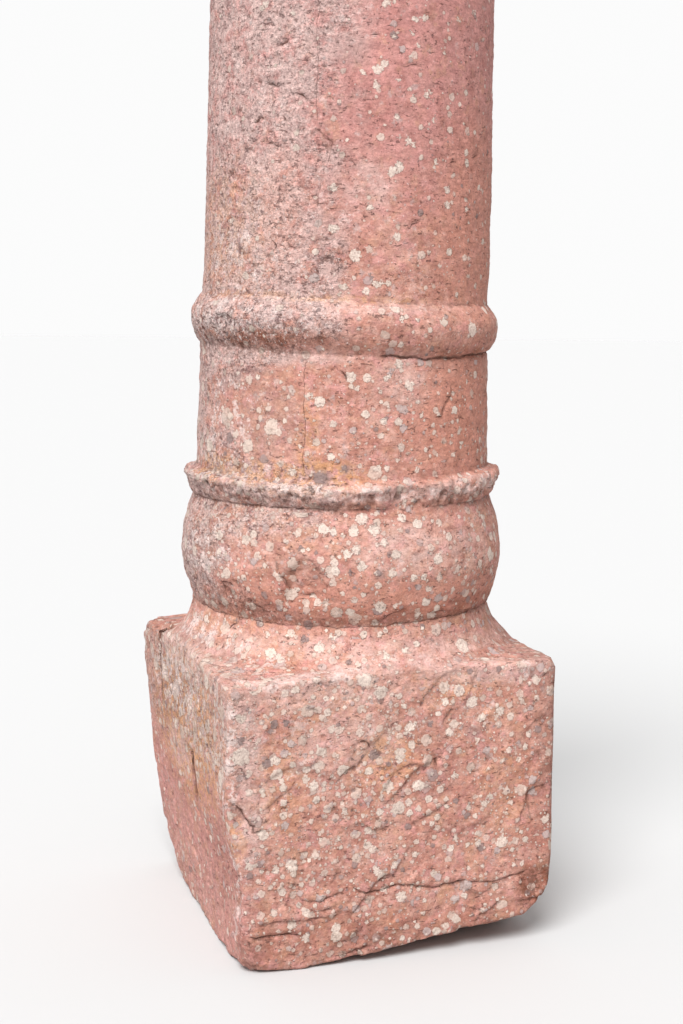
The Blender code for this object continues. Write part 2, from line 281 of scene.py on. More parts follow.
def along(points, rows):
    """Rows of points spaced evenly along a line of points, without its end."""
    line = np.asarray(points, float)
    length = np.concatenate([[0.0], np.cumsum(np.linalg.norm(np.diff(line, axis=0), axis=1))])
    places = np.linspace(0.0, length[-1], rows, endpoint=False)
    return np.stack([np.interp(places, length, line[:, axis]) for axis in range(line.shape[1])], 1)


def bend(start, middle, end, rows):
    """Rows of a curve that leaves start towards middle and reaches end from it, without its end."""
    share = np.linspace(0, 1, rows, endpoint=False).reshape(-1, *[1] * np.ndim(start))
    start, middle, end = (np.asarray(point, float) for point in (start, middle, end))
    return (1 - share) ** 2 * start + 2 * share * (1 - share) * middle + share**2 * end


def half_swelling(neck, crest, power, steps=24):
    """A rounded moulding's outline from its crest to one of its necks."""
    away = np.linspace(0, 1, steps + 1)
    radius = neck[0] + (crest[0] - neck[0]) * (1 - away**power)
    height = crest[1] + (neck[1] - crest[1]) * away
    return np.stack([radius, height], 1)


def upper_outline():
    """Radius and height from the top bed's edge down to the drum's foot."""
    seen_share = (TOTAL_HEIGHT - SHAFT_SEEN_TOP) / (TOTAL_HEIGHT - ROLL_TOP)
    shaft_top = np.array((SHAFT_TOP_RADIUS, TOTAL_HEIGHT))
    shaft_foot = np.array((SHAFT_FOOT_RADIUS, ROLL_TOP))
    shaft_seen = shaft_top + (shaft_foot - shaft_top) * seen_share
    roll_crest = (ROLL_RADIUS, ROLL_MIDDLE)
    drum_top = (DRUM_TOP_RADIUS, ROLL_BOTTOM)
    runs = (
        ("shaft_unseen", [shaft_top, shaft_seen]),
        ("shaft", [shaft_seen, shaft_foot]),
        ("roll_upper", half_swelling(shaft_foot, roll_crest, 1.8)[::-1]),
        ("roll_lower", half_swelling(drum_top, roll_crest, 2.2)),
        ("drum", [drum_top, (DRUM_FOOT_RADIUS, ANNULET_TOP)]),
    )
    return np.concatenate([along(line, ROWS[name]) for name, line in runs])


def lower_outline():
    """Radius and height of the torus, from the annulet's underside down to the torus's lower neck."""
    crest = (TORUS_RADIUS, TORUS_MIDDLE)
    upper = half_swelling((TORUS_TOP_RADIUS, ANNULET_BOTTOM), crest, 1.9)[::-1]
    lower = half_swelling((TORUS_BOTTOM_RADIUS, TORUS_BOTTOM), crest, 1.5)
    return np.concatenate([along(upper, ROWS["torus_upper"]), along(lower, ROWS["torus_lower"])])


# How far each level of the turned body stands above or below its drawn height: its name's height,
# then (degrees, metres) round the axis
LEVELS = {
    "plain_shaft": (1.20, ((0, 0.0),)),
    "roll_top": (
        ROLL_TOP,
        ((-175, 0), (-148, 0.001), (-120, -0.003), (-100, -0.006), (-78, -0.010), (-30, -0.010), (60, 0),
         (150, 0.004)),
    ),
    "roll_bottom": (
        ROLL_BOTTOM,
        ((-175, 0.006), (-157, 0.004), (-143, 0.002), (-130, -0.002), (-105, -0.003), (-75, -0.009),
         (-38, -0.004), (60, 0)),
    ),
    "annulet_top": (ANNULET_TOP, ((-175, 0), (-110, -0.002), (-70, 0.003), (-41, 0.005), (60, 0))),
    "annulet_bottom": (ANNULET_BOTTOM, ((-175, -0.001), (-110, 0), (-50, 0.003), (60, 0))),
    "torus_bottom": (
        TORUS_BOTTOM,
        ((176, 0.007), (-160, 0.001), (-124, -0.002), (-95, 0), (-64, 0.006), (-46, 0.005), (60, 0.002)),
    ),
    "plinth_top": (PLINTH_HEIGHT, ((0, 0.0),)),
}
# The annulet's broken lip round the axis: height of its edge, height of its lower side, radius lost
LIP_EDGE = (
    (-175, 0.694), (-140, 0.691), (-110, 0.690), (-78, 0.697), (-60, 0.697), (-41, 0.703), (60, 0.692),
)
LIP_FOOT = (
    (175, 0.682), (-143, 0.676), (-134, 0.682), (-130, 0.674), (-115, 0.664), (-110, 0.671), (-99, 0.681),
    (-94, 0.683), (-90, 0.690), (-84, 0.684), (-77, 0.669), (-67, 0.675), (-64, 0.667), (-52, 0.675),
    (-44, 0.684), (0, 0.678), (60, 0.682), (120, 0.676),
)
LIP_LOSS = (
    (-150, 0), (-128, 0.001), (-96, 0.001), (-92, 0.006), (-89, 0.010), (-85, 0.009), (-80, 0.003),
    (-69, 0.001), (-66, 0.008), (-62, 0.0), (-41, -0.001), (30, 0.002), (90, 0.009), (110, 0.001),
)
LIP_UNDERCUT = 0.28
LIP_RAGGED = 0.0060
LIP_NOSE = 0.005


def lip_grid(columns):
    """Radius and height of the annulet, from the drum over its broken lip to the torus."""
    angle = columns["angle"]
    turn = np.radians(angle)
    edge = around(angle, LIP_EDGE)
    ring = np.stack([ANNULET_RADIUS * np.cos(turn), ANNULET_RADIUS * np.sin(turn), edge], -1)
    ragged = LIP_RAGGED * CHIPS.rough(ring, 0.016, 3, 0.7)
    radius = ANNULET_RADIUS - 0.0005 - around(angle, LIP_LOSS) - np.abs(ragged)
    foot = around(angle, LIP_FOOT) + 1.4 * ragged
    foot = np.minimum(foot, edge - 0.003)
    heel = radius - 0.001 - LIP_UNDERCUT * (edge - foot)
    drum = np.stack([0 * angle + DRUM_FOOT_RADIUS, ANNULET_TOP + around(angle, LEVELS["annulet_top"][1])])
    slope_bend = np.stack([0 * angle + DRUM_FOOT_RADIUS + 0.004, edge + 0.003])
    shoulder = np.stack([radius - LIP_NOSE, edge + 0.002])
    nose = np.stack([radius + LIP_NOSE, (2 * edge + foot) / 3])
    under = np.stack([heel, foot])
    end_height = ANNULET_BOTTOM + around(angle, LEVELS["annulet_bottom"][1])
    end = np.stack([0 * angle + TORUS_TOP_RADIUS, np.minimum(end_height, foot - 0.002)])
    under_bend = np.stack([heel - 0.004, end[1] + 0.001])
    slope = bend(drum, slope_bend, shoulder, ROWS["annulet_slope"])
    lip = bend(shoulder, nose, under, ROWS["annulet_lip"])
    underside = bend(under, under_bend, end, ROWS["annulet_underside"])
    return np.moveaxis(np.concatenate([slope, lip, underside]), 1, -1)


def lifted(outline, columns):
    """An outline at every column, with the wander of its levels."""
    heights = np.array([height for height, _ in LEVELS.values()])
    shifts = np.stack([around(columns["angle"], stops) for _, stops in LEVELS.values()])
    order = np.argsort(heights)
    lifts = [np.interp(outline[:, 1], heights[order], shift[order]) for shift in shifts.T]
    height = outline[:, 1, None] + np.stack(lifts, 1)
    return np.stack([np.broadcast_to(outline[:, :1], height.shape), height], -1)


def turned_grid(columns):
    """The turned body's points, as rows of columns."""
    parts = (lifted(upper_outline(), columns), lip_grid(columns), lifted(lower_outline(), columns))
    radius, height = np.moveaxis(np.concatenate(parts), -1, 0)
    angle = np.radians(columns["angle"])[None, :]
    across = DRUM_SHIFT * smoothstep(height, TORUS_MIDDLE, TORUS_MIDDLE + 0.06)
    across = across + (SHAFT_SHIFT - DRUM_SHIFT) * smoothstep(height, ROLL_TOP, ROLL_TOP + 0.05)
    return np.stack([radius * np.cos(angle) + across, radius * np.sin(angle), height], -1)


def flare_height(across, deep):
    """Height of the flare and of the plinth's top over a place."""
    neck = (TORUS_BOTTOM_RADIUS, TORUS_BOTTOM)
    flare = np.concatenate([bend(neck, FLARE_BEND, FLARE_FOOT, 24), [FLARE_FOOT, APRON]])
    from_axis = np.hypot(across, deep)
    nominal = np.interp(from_axis, flare[:, 0], flare[:, 1])
    shift = FLARE_SHIFT * smoothstep(TORUS_BOTTOM - nominal, 0, TORUS_BOTTOM - PLINTH_HEIGHT)
    from_centre = np.hypot(across - shift, deep - shift)
    height = np.interp(from_centre, flare[:, 0], flare[:, 1])
    bed = PLINTH_HEIGHT + TOP_LIFT + TOP_RISE * across / PLINTH_SIDE
    softness = 0.003
    return bed + softness * np.logaddexp(0, (height - bed) / softness)


def plinth_corner(side, face, height):
    """A corner of the plinth at some heights: side is -1 for the left, face is -1 for the front."""
    depth = 1 - np.minimum(height, PLINTH_HEIGHT) / PLINTH_HEIGHT
    fall = smoothstep(-height, -FRONT_LEFT_LEAN_TOP, -FRONT_LEFT_LEAN_BOTTOM)
    across = side * PLINTH_SIDE / 2 + 0 * height
    deep = face * PLINTH_SIDE / 2 + 0 * height
    if face < 0:
        deep = deep + side * FRONT_TWIST * (1 - depth)
        if side < 0:
            across = across + FRONT_LEFT_LEAN * fall
    else:
        deep = deep - BACK_LEAN * depth
        lean = BACK_LEFT_LEAN * depth**BACK_LEFT_LEAN_POWER if side < 0 else -BACK_LEAN * depth
        across = across + lean
    return np.stack([across, deep], -1)


# The corners that each sector of columns runs between, by the angle of its first one
SECTOR_CORNERS = {
    -135: ((-1, -1), (1, -1)),
    -45: ((1, -1), (1, 1)),
    45: ((1, 1), (-1, 1)),
    135: ((-1, 1), (-1, -1)),
}


def edge_point(columns, height):
    """Where each column's line crosses the plinth's side at a height, one for each column."""
    places = np.zeros(np.shape(height) + (2,))
    for start, (first, second) in SECTOR_CORNERS.items():
        chosen = columns["sector"] == start
        share = columns["share"][chosen][:, None]
        level = height[..., chosen]
        start_corner = plinth_corner(*first, level)
        end_corner = plinth_corner(*second, level)
        places[..., chosen, :] = start_corner * (1 - share) + end_corner * share
    return places


def make_columns():
    """The angle of each column of points, its sector of the plinth and its share of that sector."""
    angles, sectors, shares = [], [], []
    for start, low, high, count in COLUMN_RUNS:
        share = np.linspace(low, high, count, endpoint=False)
        angles.append(start + 90.0 * share)
        sectors.append(np.full(count, start))
        shares.append(share)
    return {
        "angle": np.concatenate(angles),
        "sector": np.concatenate(sectors),
        "share": np.concatenate(shares),
    }


def plinth_top_grid(columns, start):
    """From the torus's neck out over the flare and the plinth's top, to its edge."""
    count = len(columns["angle"])
    edge = edge_point(columns, np.full(count, PLINTH_HEIGHT))
    out = np.linspace(0, 1, 160)[:, None, None]
    ground = start[None, :, :2] + (edge[None] - start[None, :, :2]) * out
    height = flare_height(ground[..., 0], ground[..., 1])
    neck_lift = start[None, :, 2] - height[0]
    height = height + neck_lift * smoothstep(1 - out[..., 0] * 5)
    lines = np.concatenate([ground, height[..., None]], -1)
    return np.stack([along(lines[:, column], ROWS["plinth_top"]) for column in range(count)], 1)


def plinth_side_grid(columns, top_height):
    """Down the plinth's faces, from the top arris to the underside."""
    share = np.arange(ROWS["plinth_side"])[:, None] / ROWS["plinth_side"]
    height = top_height[None, :] * (1 - share)
    ground = edge_point(columns, height)
    return np.concatenate([ground, height[..., None]], -1)


def flat_grid(edge, rows, outward):
    """Rings on a flat bed between its edge and its centre, in the order that the grid needs."""
    share = (np.arange(rows) + (0 if outward else 1)) / rows
    if outward:
        share = 1 - share[::-1]
        share = share - share[0] + 1.0 / rows
        share = share[:-1]
    else:
        share = 1 - share[:-1]
    rings = edge[None] * share[:, None, None]
    rings[..., 2] = edge[None, :, 2]
    return rings


def base_grid(columns):
    """The whole undamaged form, from the middle of the top bed to the middle of the underside."""
    body = turned_grid(columns)
    top_edge = body[0].copy()
    angle = np.radians(columns["angle"])
    neck_radius = TORUS_BOTTOM_RADIUS
    neck_height = TORUS_BOTTOM + around(columns["angle"], LEVELS["torus_bottom"][1])
    neck = np.stack([neck_radius * np.cos(angle), neck_radius * np.sin(angle), neck_height], -1)
    top = plinth_top_grid(columns, neck)
    edge = edge_point(columns, np.full(len(angle), PLINTH_HEIGHT))
    side = plinth_side_grid(columns, flare_height(edge[:, 0], edge[:, 1]))
    bottom_height = np.zeros(len(angle))
    bottom = np.concatenate([edge_point(columns, bottom_height), bottom_height[:, None]], -1)
    bed = flat_grid(top_edge, ROWS["bed"], True)
    under = flat_grid(bottom, ROWS["underside"], False)
    return np.concatenate([bed, body, top, side, bottom[None], under])


# Damage and relief

# The worn corner at the front left foot
FOOT_PLACE = np.array((-0.235, -0.256, 0.0))
FOOT_REACH = 0.10
FOOT_WEAR = 0.020


def face_depths(points):
    """How deep each point lies behind the plinth's left, right, front, back, top and bottom."""
    across, deep, height = np.moveaxis(points, -1, 0)
    corner = {(side, face): plinth_corner(side, face, height) for side in (-1, 1) for face in (-1, 1)}
    toward_back = np.clip(deep / PLINTH_SIDE + 0.5, 0, 1)
    toward_right = np.clip(across / PLINTH_SIDE + 0.5, 0, 1)
    left = corner[-1, -1][..., 0] * (1 - toward_back) + corner[-1, 1][..., 0] * toward_back
    right = corner[1, -1][..., 0] * (1 - toward_back) + corner[1, 1][..., 0] * toward_back
    front = corner[-1, -1][..., 1] * (1 - toward_right) + corner[1, -1][..., 1] * toward_right
    back = corner[-1, 1][..., 1] * (1 - toward_right) + corner[1, 1][..., 1] * toward_right
    top = flare_height(across, deep)
    depths = (across - left, right - across, deep - front, back - deep, top - height, height)
    return np.stack(depths, -1)


INWARD = np.array(((1, 0, 0), (-1, 0, 0), (0, 1, 0), (0, -1, 0), (0, 0, -1), (0, 0, 1)), float)


def round_arrises(points):
    """Wears the plinth's edges round, by a radius that varies along them."""
    low = points[..., 2] < PLINTH_HEIGHT + 0.03
    chosen = points[low]
    radius = ARRIS_ROUND * (1 + 0.9 * LUMPS.at(chosen, 0.05))[:, None]
    wear = FOOT_WEAR * smoothstep(1 - np.linalg.norm(chosen - FOOT_PLACE, axis=1) / FOOT_REACH)
    radius = radius + wear[:, None]
    near = np.clip(radius - face_depths(chosen), 0, None)
    length = np.linalg.norm(near, axis=1)[:, None]
    kept = near * np.minimum(1, radius / np.maximum(length, 1e-9))
    points[low] = chosen + (near - kept) @ INWARD
    return points


# Where the lower arrises are broken away: a point of each break and its slope, facing the stone
BREAKS = (
    ((-0.145, -0.256, 0.0), (-0.13, 0.45, 1.0)),
    ((0.148, -0.256, 0.0), (-0.74, 0.50, 1.0)),
    ((0.256, -0.256, 0.098), (-1.4, 0.50, 1.0)),
    ((-0.186, 0.250, 0.0), (1.0, -0.22, 0.42)),
)


def break_edges(points):
    """Moves what lies beyond each break back onto it."""
    for place, normal in BREAKS:
        normal = np.array(normal) / np.linalg.norm(normal)
        rough = 0.002 * CHIPS.rough(points, 0.05)
        beyond = np.clip((points - np.array(place)) @ normal - rough, None, 0)
        beyond = beyond * (points[..., 2] < PLINTH_HEIGHT)
        points = points - beyond[..., None] * normal
    return points


def normals_of(points):
    """Outward normals of a grid that closes round the columns."""
    down = np.gradient(points, axis=0)
    turn = (np.roll(points, -1, axis=1) - np.roll(points, 1, axis=1)) / 2
    normal = np.cross(turn, -down)
    length = np.linalg.norm(normal, axis=-1, keepdims=True)
    return normal / np.maximum(length, 1e-12)


# Hollows knocked out of the mouldings: degrees, height, radius at the ball's middle, half length,
# half height and half depth
ROUND_CHIPS = (
    (-122, 0.528, 0.2740, 0.062, 0.074, 0.0410),
    (-151, 0.523, 0.2700, 0.055, 0.036, 0.0330),
    (166, 0.494, 0.2620, 0.110, 0.040, 0.0370),
    (-64, 0.510, 0.2720, 0.085, 0.034, 0.0365),
    (-20, 0.520, 0.2760, 0.100, 0.045, 0.0410),
    (100, 0.563, 0.2900, 0.120, 0.070, 0.0500),
    (-160, 0.902, 0.2600, 0.085, 0.040, 0.0340),
    (84, 0.925, 0.2600, 0.090, 0.036, 0.0300),
)
# Hollows knocked out of the plinth: centre and half sizes
BLOCK_CHIPS = (
    ((-0.252, -0.052, 0.238), (0.030, 0.009, 0.036)),
    ((-0.260, 0.134, 0.372), (0.016, 0.010, 0.062)),
    ((-0.250, -0.264, 0.171), (0.018, 0.015, 0.026)),
    ((-0.266, -0.271, 0.352), (0.017, 0.015, 0.022)),
    ((-0.280, 0.162, 0.446), (0.060, 0.060, 0.036)),
    ((-0.270, -0.275, 0.450), (0.090, 0.090, 0.036)),
    ((-0.296, 0.281, 0.463), (0.080, 0.080, 0.080)),
    ((0.272, -0.268, 0.449), (0.042, 0.042, 0.040)),
    ((0.266, 0.266, 0.400), (0.040, 0.036, 0.050)),
    ((0.060, 0.270, 0.008), (0.090, 0.034, 0.036)),
    ((0.272, 0.080, 0.006), (0.036, 0.070, 0.030)),
)


def knock_out(points, centre, sizes, turn):
    """Pushes the points inside a lumpy ball out through its far side, which leaves a hollow."""
    cosine, sine = math.cos(turn), math.sin(turn)
    spin = np.array(((cosine, -sine, 0), (sine, cosine, 0), (0, 0, 1)))
    local = (points - np.array(centre)) @ spin / np.array(sizes)
    length = np.linalg.norm(local, axis=-1)
    close = length < 1.5
    chosen = local[close]
    away = length[close][:, None]
    reach = 1 + 0.25 * CHIPS.rough(chosen / np.maximum(away, 1e-6) + np.array(centre) * 9, 0.6)[:, None]
    pushed = np.where(away < reach, chosen / np.maximum(away, 1e-6) * reach, chosen)
    points[close] = pushed * np.array(sizes) @ spin.T + np.array(centre)
    return points


def knock_chips(points):
    """Every hollow in the mouldings and the plinth."""
    for degrees, height, radius, length, tall, deep in ROUND_CHIPS:
        turn = math.radians(degrees)
        centre = (radius * math.cos(turn), radius * math.sin(turn), height)
        points = knock_out(points, centre, (deep, length, tall), turn)
    for centre, sizes in BLOCK_CHIPS:
        points = knock_out(points, centre, sizes, 0.0)
    return points


# Cracks and broken edges on each sheet: the depth of each one's groove, how far the stone stands proud on
# its left hand as it runs, and its points
# The grooves also carry painted shade in the material; the lines at the roll's foot and the torus's foot are
# painted contact shadow
LINES = {
    "front": (
        (3.2, 3, (-228, 60), (-196, 57), (-171, 58), (-136, 52)),
        (1.4, 3, (-216, 74), (-171, 77), (-134, 73), (-76, 77)),
        (1.6, 2.5, (-152, 114), (-142, 105), (-113, 99), (-107, 106), (-80, 109), (-69, 112)),
        (3.2, 2.5, (-72, 120), (-46, 106), (-22, 105), (1, 110), (33, 108), (66, 102), (100, 105),
         (120, 106)),
        (1.8, 3, (108, 105), (132, 103), (157, 99), (190, 106), (225, 110)),
        (1.6, 2.5, (-137, 81), (-126, 83), (-107, 88), (-80, 94)),
        (0.4, 4, (120, 36), (137, 52), (158, 61), (182, 72)),
        (2.2, 3, (196, 62), (224, 67), (252, 77)),
        (2.5, 4, (-82, 14), (-56, 22), (-25, 25)),
        (2.6, 4.5, (-254, 262), (-236, 248), (-226, 232), (-217, 222), (-215, 213), (-203, 214),
         (-193, 211)),
        (2.4, 2, (-64, 325), (-57, 333), (-48, 331), (-35, 314)),
        (0.8, -2.4, (-62, 330), (-73, 310), (-80, 294)),
        (2.4, 0, (-180, 239), (-174, 246), (-167, 244), (-161, 236)),
        (0.6, 3.4, (-30, 230), (-2, 247), (19, 272), (44, 289), (62, 296)),
        (2.4, 0, (54, 296), (60, 294), (62, 282)),
        (0.6, 3.2, (18, 198), (46, 210), (65, 218), (86, 238)),
        (1, 3, (66, 334), (74, 356), (85, 366), (102, 363)),
        (0.4, -3, (182, 262), (198, 282), (214, 295), (219, 312)),
        (1, 3.5, (196, 176), (200, 202), (208, 220), (211, 235), (228, 239), (255, 239)),
        (0.5, 0, (-95, 229), (-62, 223), (-30, 219)),
        (1.2, 3, (-142, 420), (-121, 421), (-100, 414)),
        (0.9, 0, (34, 398), (49, 390), (60, 387), (75, 390)),
        (0.4, 2.6, (-152, 295), (-131, 304), (-114, 324)),
        (0.4, 2.8, (-207, 238), (-185, 257), (-163, 272), (-146, 290)),
    ),
    "round": (
        (1.5, 0.7, (-122.5, 1400), (-121.9, 1348), (-122.5, 1328), (-122.1, 1252), (-122, 1227),
         (-121, 1187)),
        (1.4, 2.4, (-125.4, 1174), (-122.5, 1185), (-121, 1190), (-119.1, 1181), (-116.2, 1170),
         (-117, 1146), (-119.6, 1128)),
        (1, 0.4, (-119.8, 1135), (-121.1, 1091), (-121, 1050), (-121, 962)),
        (0.3, 0.8, (-61.5, 1360), (-61, 1180), (-60, 1080), (-58.5, 960)),
        (2.2, 1.2, (-146.5, 1333), (-142.1, 1335), (-138.4, 1327)),
        (3.6, 1.4, (-139.6, 1303), (-136.6, 1307), (-132.8, 1311)),
        (3.8, 1.8, (-144.4, 1253), (-140.7, 1254), (-136.6, 1245)),
        (3.4, 1.4, (-131.4, 1240), (-127.9, 1233), (-124.4, 1226)),
        (3, 1.2, (-149.4, 1199), (-146, 1204), (-142.6, 1201)),
        (2.6, 1, (-136.6, 1210), (-135.1, 1205), (-133.6, 1197)),
        (2.6, 1.4, (-143.8, 1167), (-140.1, 1170), (-135.2, 1164)),
        (2.2, 1, (-132.9, 1031), (-130.5, 1027), (-127.8, 1025)),
        (2.8, 1, (-140.3, 1039), (-137.7, 1028), (-138, 1017)),
        (0.5, 0, (-149, 1092), (-138.2, 1090), (-128, 1089)),
        (1.8, 0.6, (-91, 1275), (-86, 1279), (-80.8, 1276)),
        (2.2, 0.8, (-103, 1317), (-97.6, 1320)),
        (2.2, 0.8, (-55, 1158), (-47.6, 1166)),
        (2.2, 0.8, (-68.6, 1148), (-63.2, 1155)),
        (1.8, 1, (-62, 1106), (-55.6, 1098)),
        (2.2, 1, (-86.3, 1052), (-84.9, 1061), (-80.6, 1065)),
        (1, 0.6, (-83, 1035), (-77.7, 1034), (-73.4, 1041)),
        (3.4, 0, (-98, 877), (-75, 872), (-38, 877), (-12, 880)),
        (1.5, 0.6, (-124.5, 880), (-124.2, 833), (-124.5, 812), (-124, 784), (-123.8, 756), (-124, 700)),
        (4, 1.6, (-111.4, 858), (-109.5, 850), (-108.5, 839)),
        (2.2, 2.2, (-75.4, 789), (-69.9, 790), (-69.4, 799), (-67.9, 810), (-65.1, 820), (-64.4, 842)),
        (0.5, 1, (-64.2, 872), (-64.6, 834)),
        (0.6, 0.8, (-63.9, 772), (-64.3, 740), (-64.5, 700)),
        (1.4, -5.5, (-133.6, 596), (-131.7, 579), (-131.2, 568), (-128.9, 557), (-127.6, 542),
         (-126.1, 528)),
        (1.2, 3.4, (-124.5, 590), (-119.3, 587), (-116.6, 574), (-115.4, 560)),
        (1.6, 1.6, (-124.6, 534), (-121.4, 537), (-117.6, 534)),
        (2.6, 2.2, (-157, 540), (-152.6, 544), (-148.6, 538)),
        (1.2, 2.2, (-146, 529), (-141.4, 517), (-136.6, 508)),
        (1.5, 0, (-178, 496), (-160, 491), (-124, 488), (-95, 490), (-64, 496), (-46, 495), (-8, 493)),
        (2, 2.6, (-97.6, 496), (-93, 507), (-88.4, 514), (-84.8, 519)),
        (1.6, 2.2, (-77.8, 502), (-71.5, 508), (-62, 503)),
        (1.8, 2.2, (-60.4, 498), (-52.8, 500), (-46.1, 501), (-35.4, 499)),
        (3, 1.2, (-154.8, 467), (-153, 476), (-149.2, 484)),
    ),
    "top": (
        (1.6, 1.2, (-256, -98), (-240, -140), (-214, -179), (-186, -208), (-150, -224)),
        (0.8, 1.4, (40, -247), (106, -238), (150, -226), (190, -232)),
    ),
    "left": (
        (3, 0, (-54, 376), (-54, 355), (-59, 318), (-56, 284)),
        (6.5, 1.2, (-52, 286), (-56, 244), (-60, 204)),
        (4, 0, (-149, 316), (-145, 297)),
        (3, 0, (152, 278), (156, 262), (167, 228)),
        (3.6, 2, (142, 422), (147, 400), (146, 348), (141, 300)),
        (2.8, -1.4, (176, 402), (160, 414), (140, 421), (100, 428)),
    ),
}
GROOVE_HALF_WIDTH = 0.0012
GROOVE_SPREAD = 0.4
STEP_REACH = 0.022
LINE_REACH = 0.030
LINE_WANDER = 0.0030
LEFT_SPREAD = 2.6
# The depth of groove whose painted shade is drawn at full strength, the most strength, and how far from it
# it's stored
FULLY_DRAWN = 0.0024
MOST_DRAWN = 1.7
DRAWN_REACH = 0.012
CRUST_FIELD_REACH = 0.012


def drawn_lines():
    """Every line's sheet, its groove and its step in metres, and its points in metres on the sheet."""
    for sheet, lines in LINES.items():
        for groove, step, *places in lines:
            line = np.array([sheet_point(sheet, place) for place in places])
            yield sheet, groove / MILLIMETRES, step / MILLIMETRES, line


def line_field(across, up, line):
    """Each place's distance from a line, plus on its left hand, and the line's strength, 0 at its ends."""
    length = np.linalg.norm(np.diff(line, axis=0), axis=1)
    before = np.concatenate([[0.0], np.cumsum(length)])
    nearest = np.full(across.shape, np.inf)
    side = np.ones(across.shape)
    reached = np.zeros(across.shape)
    for start, end, size, passed in zip(line[:-1], line[1:], length, before):
        way = (end - start) / size
        gap = np.stack([across - start[0], up - start[1]], -1)
        share = np.clip(gap @ way, 0, size)
        away = np.hypot(*np.moveaxis(gap - share[..., None] * way, -1, 0))
        closer = away < nearest
        nearest = np.where(closer, away, nearest)
        side = np.where(closer, np.sign(way[0] * gap[..., 1] - way[1] * gap[..., 0]), side)
        reached = np.where(closer, passed + share, reached)
    total = before[-1]
    taper = min(0.35 * total, 0.020)
    strength = smoothstep(np.minimum(reached, total - reached), 0, taper)
    return nearest * side, strength


def line_places(points):
    """For each line: its order, groove and step, the points near it, their signed distance and its strength.

    The left face is seen edge on, so its lines are open wider: distances on it are scaled down.
    """
    laid = lay_sheets(points)
    wander = LINE_WANDER * (CHIPS.at(points, 0.009) + 1.5 * LUMPS.at(points, 0.022))
    for order, (sheet, groove, step, line) in enumerate(drawn_lines()):
        across, up, on_sheet = laid[sheet]
        low = line.min(axis=0) - LINE_REACH
        high = line.max(axis=0) + LINE_REACH
        near = on_sheet & (across > low[0]) & (across < high[0]) & (up > low[1]) & (up < high[1])
        distance, strength = line_field(across[near], up[near], line)
        spread = LEFT_SPREAD if sheet == "left" else 1.0
        yield order, groove, step, near, (distance + wander[near]) / spread, strength


def line_relief(points):
    """How far the cracks and broken edges move the surface."""
    moved = np.zeros(points.shape[:-1])
    for _, groove, step, near, distance, strength in line_places(points):
        width = GROOVE_HALF_WIDTH + GROOVE_SPREAD * groove
        cut = groove * np.exp(-((distance / width) ** 2))
        hand = np.sign(step) * distance
        proud = abs(step) * smoothstep(hand, -0.0006, 0.0014) * smoothstep(1 - hand / STEP_REACH)
        moved[near] += strength * (proud - cut)
    return moved


# Where the wear of the left starts, in degrees left of the front, and how far it takes to reach its full
# strength; how far its edge wanders; and where it fades out at the back
WEAR_START = 12.0
WEAR_WIDTH = 26.0
WEAR_WANDER = 24.0
WEAR_BACK = (-170.0, -130.0)


def left_wear(points):
    """1 on the darker and more pitted left of the round body, falling to 0 at its front."""
    across, deep, height = np.moveaxis(points, -1, 0)
    degrees = degrees_apart(np.degrees(np.arctan2(deep, across)), -90.0)
    wander = WEAR_WANDER * LUMPS.rough(points, 0.07, 3)
    roll = bump(height, ROLL_MIDDLE - 0.012, 0.034)
    drum = bump(height, (ROLL_BOTTOM + ANNULET_TOP) / 2, 0.11)
    start = WEAR_START + 40.0 * bump(height, TORUS_MIDDLE, 0.10) - 14.0 * roll + 50.0 * drum
    worn = smoothstep(-degrees + wander, start, start + WEAR_WIDTH + 24.0 * roll) * (1 + 0.6 * roll)
    worn = worn * smoothstep(degrees + 0.5 * wander, *WEAR_BACK)
    return worn * smoothstep(height, TORUS_BOTTOM - 0.005, TORUS_BOTTOM + 0.03)


# The plinth's faces split along a slant: places are turned by this angle and stretched along it
SLANT = math.radians(42)
SLANT_STRETCH = 1.3
SLANT_SQUEEZE = 1.2


def slanted(points):
    """Places turned and squeezed, so that a pattern laid on them runs along the slant."""
    across, deep, height = np.moveaxis(points, -1, 0)
    along_slant = (across * math.cos(SLANT) + height * math.sin(SLANT)) / SLANT_STRETCH
    over_slant = (height * math.cos(SLANT) - across * math.sin(SLANT)) * SLANT_SQUEEZE
    return np.stack([along_slant, deep, over_slant], -1)


# Lumps and bedding: the noise and its shift, the size of its lumps in metres, its octaves and their fall,
# its height in metres on the mouldings, and how much more that is on the shaft and on the plinth
LUMPINESS = (
    (LUMPS, 0.0, 0.11, 2, 0.5, 0.0014, 0.0, 0.0),
    (CHIPS, 0.0, 0.034, 3, 0.5, 0.0016, -0.0007, -0.0006),
    (BEDS, 0.0, (0.11, 0.012, 0.16), 2, 0.5, 0.0010, 0.0, 0.0010),
    (BEDS, 0.0, (0.03, 0.03, 0.007), 2, 0.5, 0.0, 0.0008, 0.0),
    (LUMPS, 7.0, (0.045, 0.045, 0.020), 3, 0.6, 0.0014, -0.0006, -0.0014),
)
# Hollows: the noise and its shift, their size, the noise where they start and where they are deepest, and
# their depth
PITTING = {
    "small": (PITS, 0.0, 0.012, 0.22, 0.50, 0.0017),
    "large": (CHIPS, 5.0, (0.024, 0.024, 0.011), 0.34, 0.62, 0.0027),
    "lip": (CHIPS, 9.0, 0.026, 0.05, 0.45, 0.0050),
}
# The chips that the plinth's faces are split into: the noise and its shift, their size and their tilt
SPLITS = ((CHIPS, 0.0, 0.060, 0.050), (PITS, 4.0, 0.018, 0.055))
SPLIT_WARP = 0.010
SPLIT_WARP_SIZE = 0.025
CRUMB_HEIGHT = 0.0050
CRUMB_SIZE = 0.011


def split_relief(points):
    """How far the chips of the plinth's faces stand proud, in metres."""
    warped = points + SPLIT_WARP * LUMPS.at(points + 2.0, SPLIT_WARP_SIZE)[:, None]
    return sum(noise.facets(slanted(warped) + shift, size, tilt) for noise, shift, size, tilt in SPLITS)


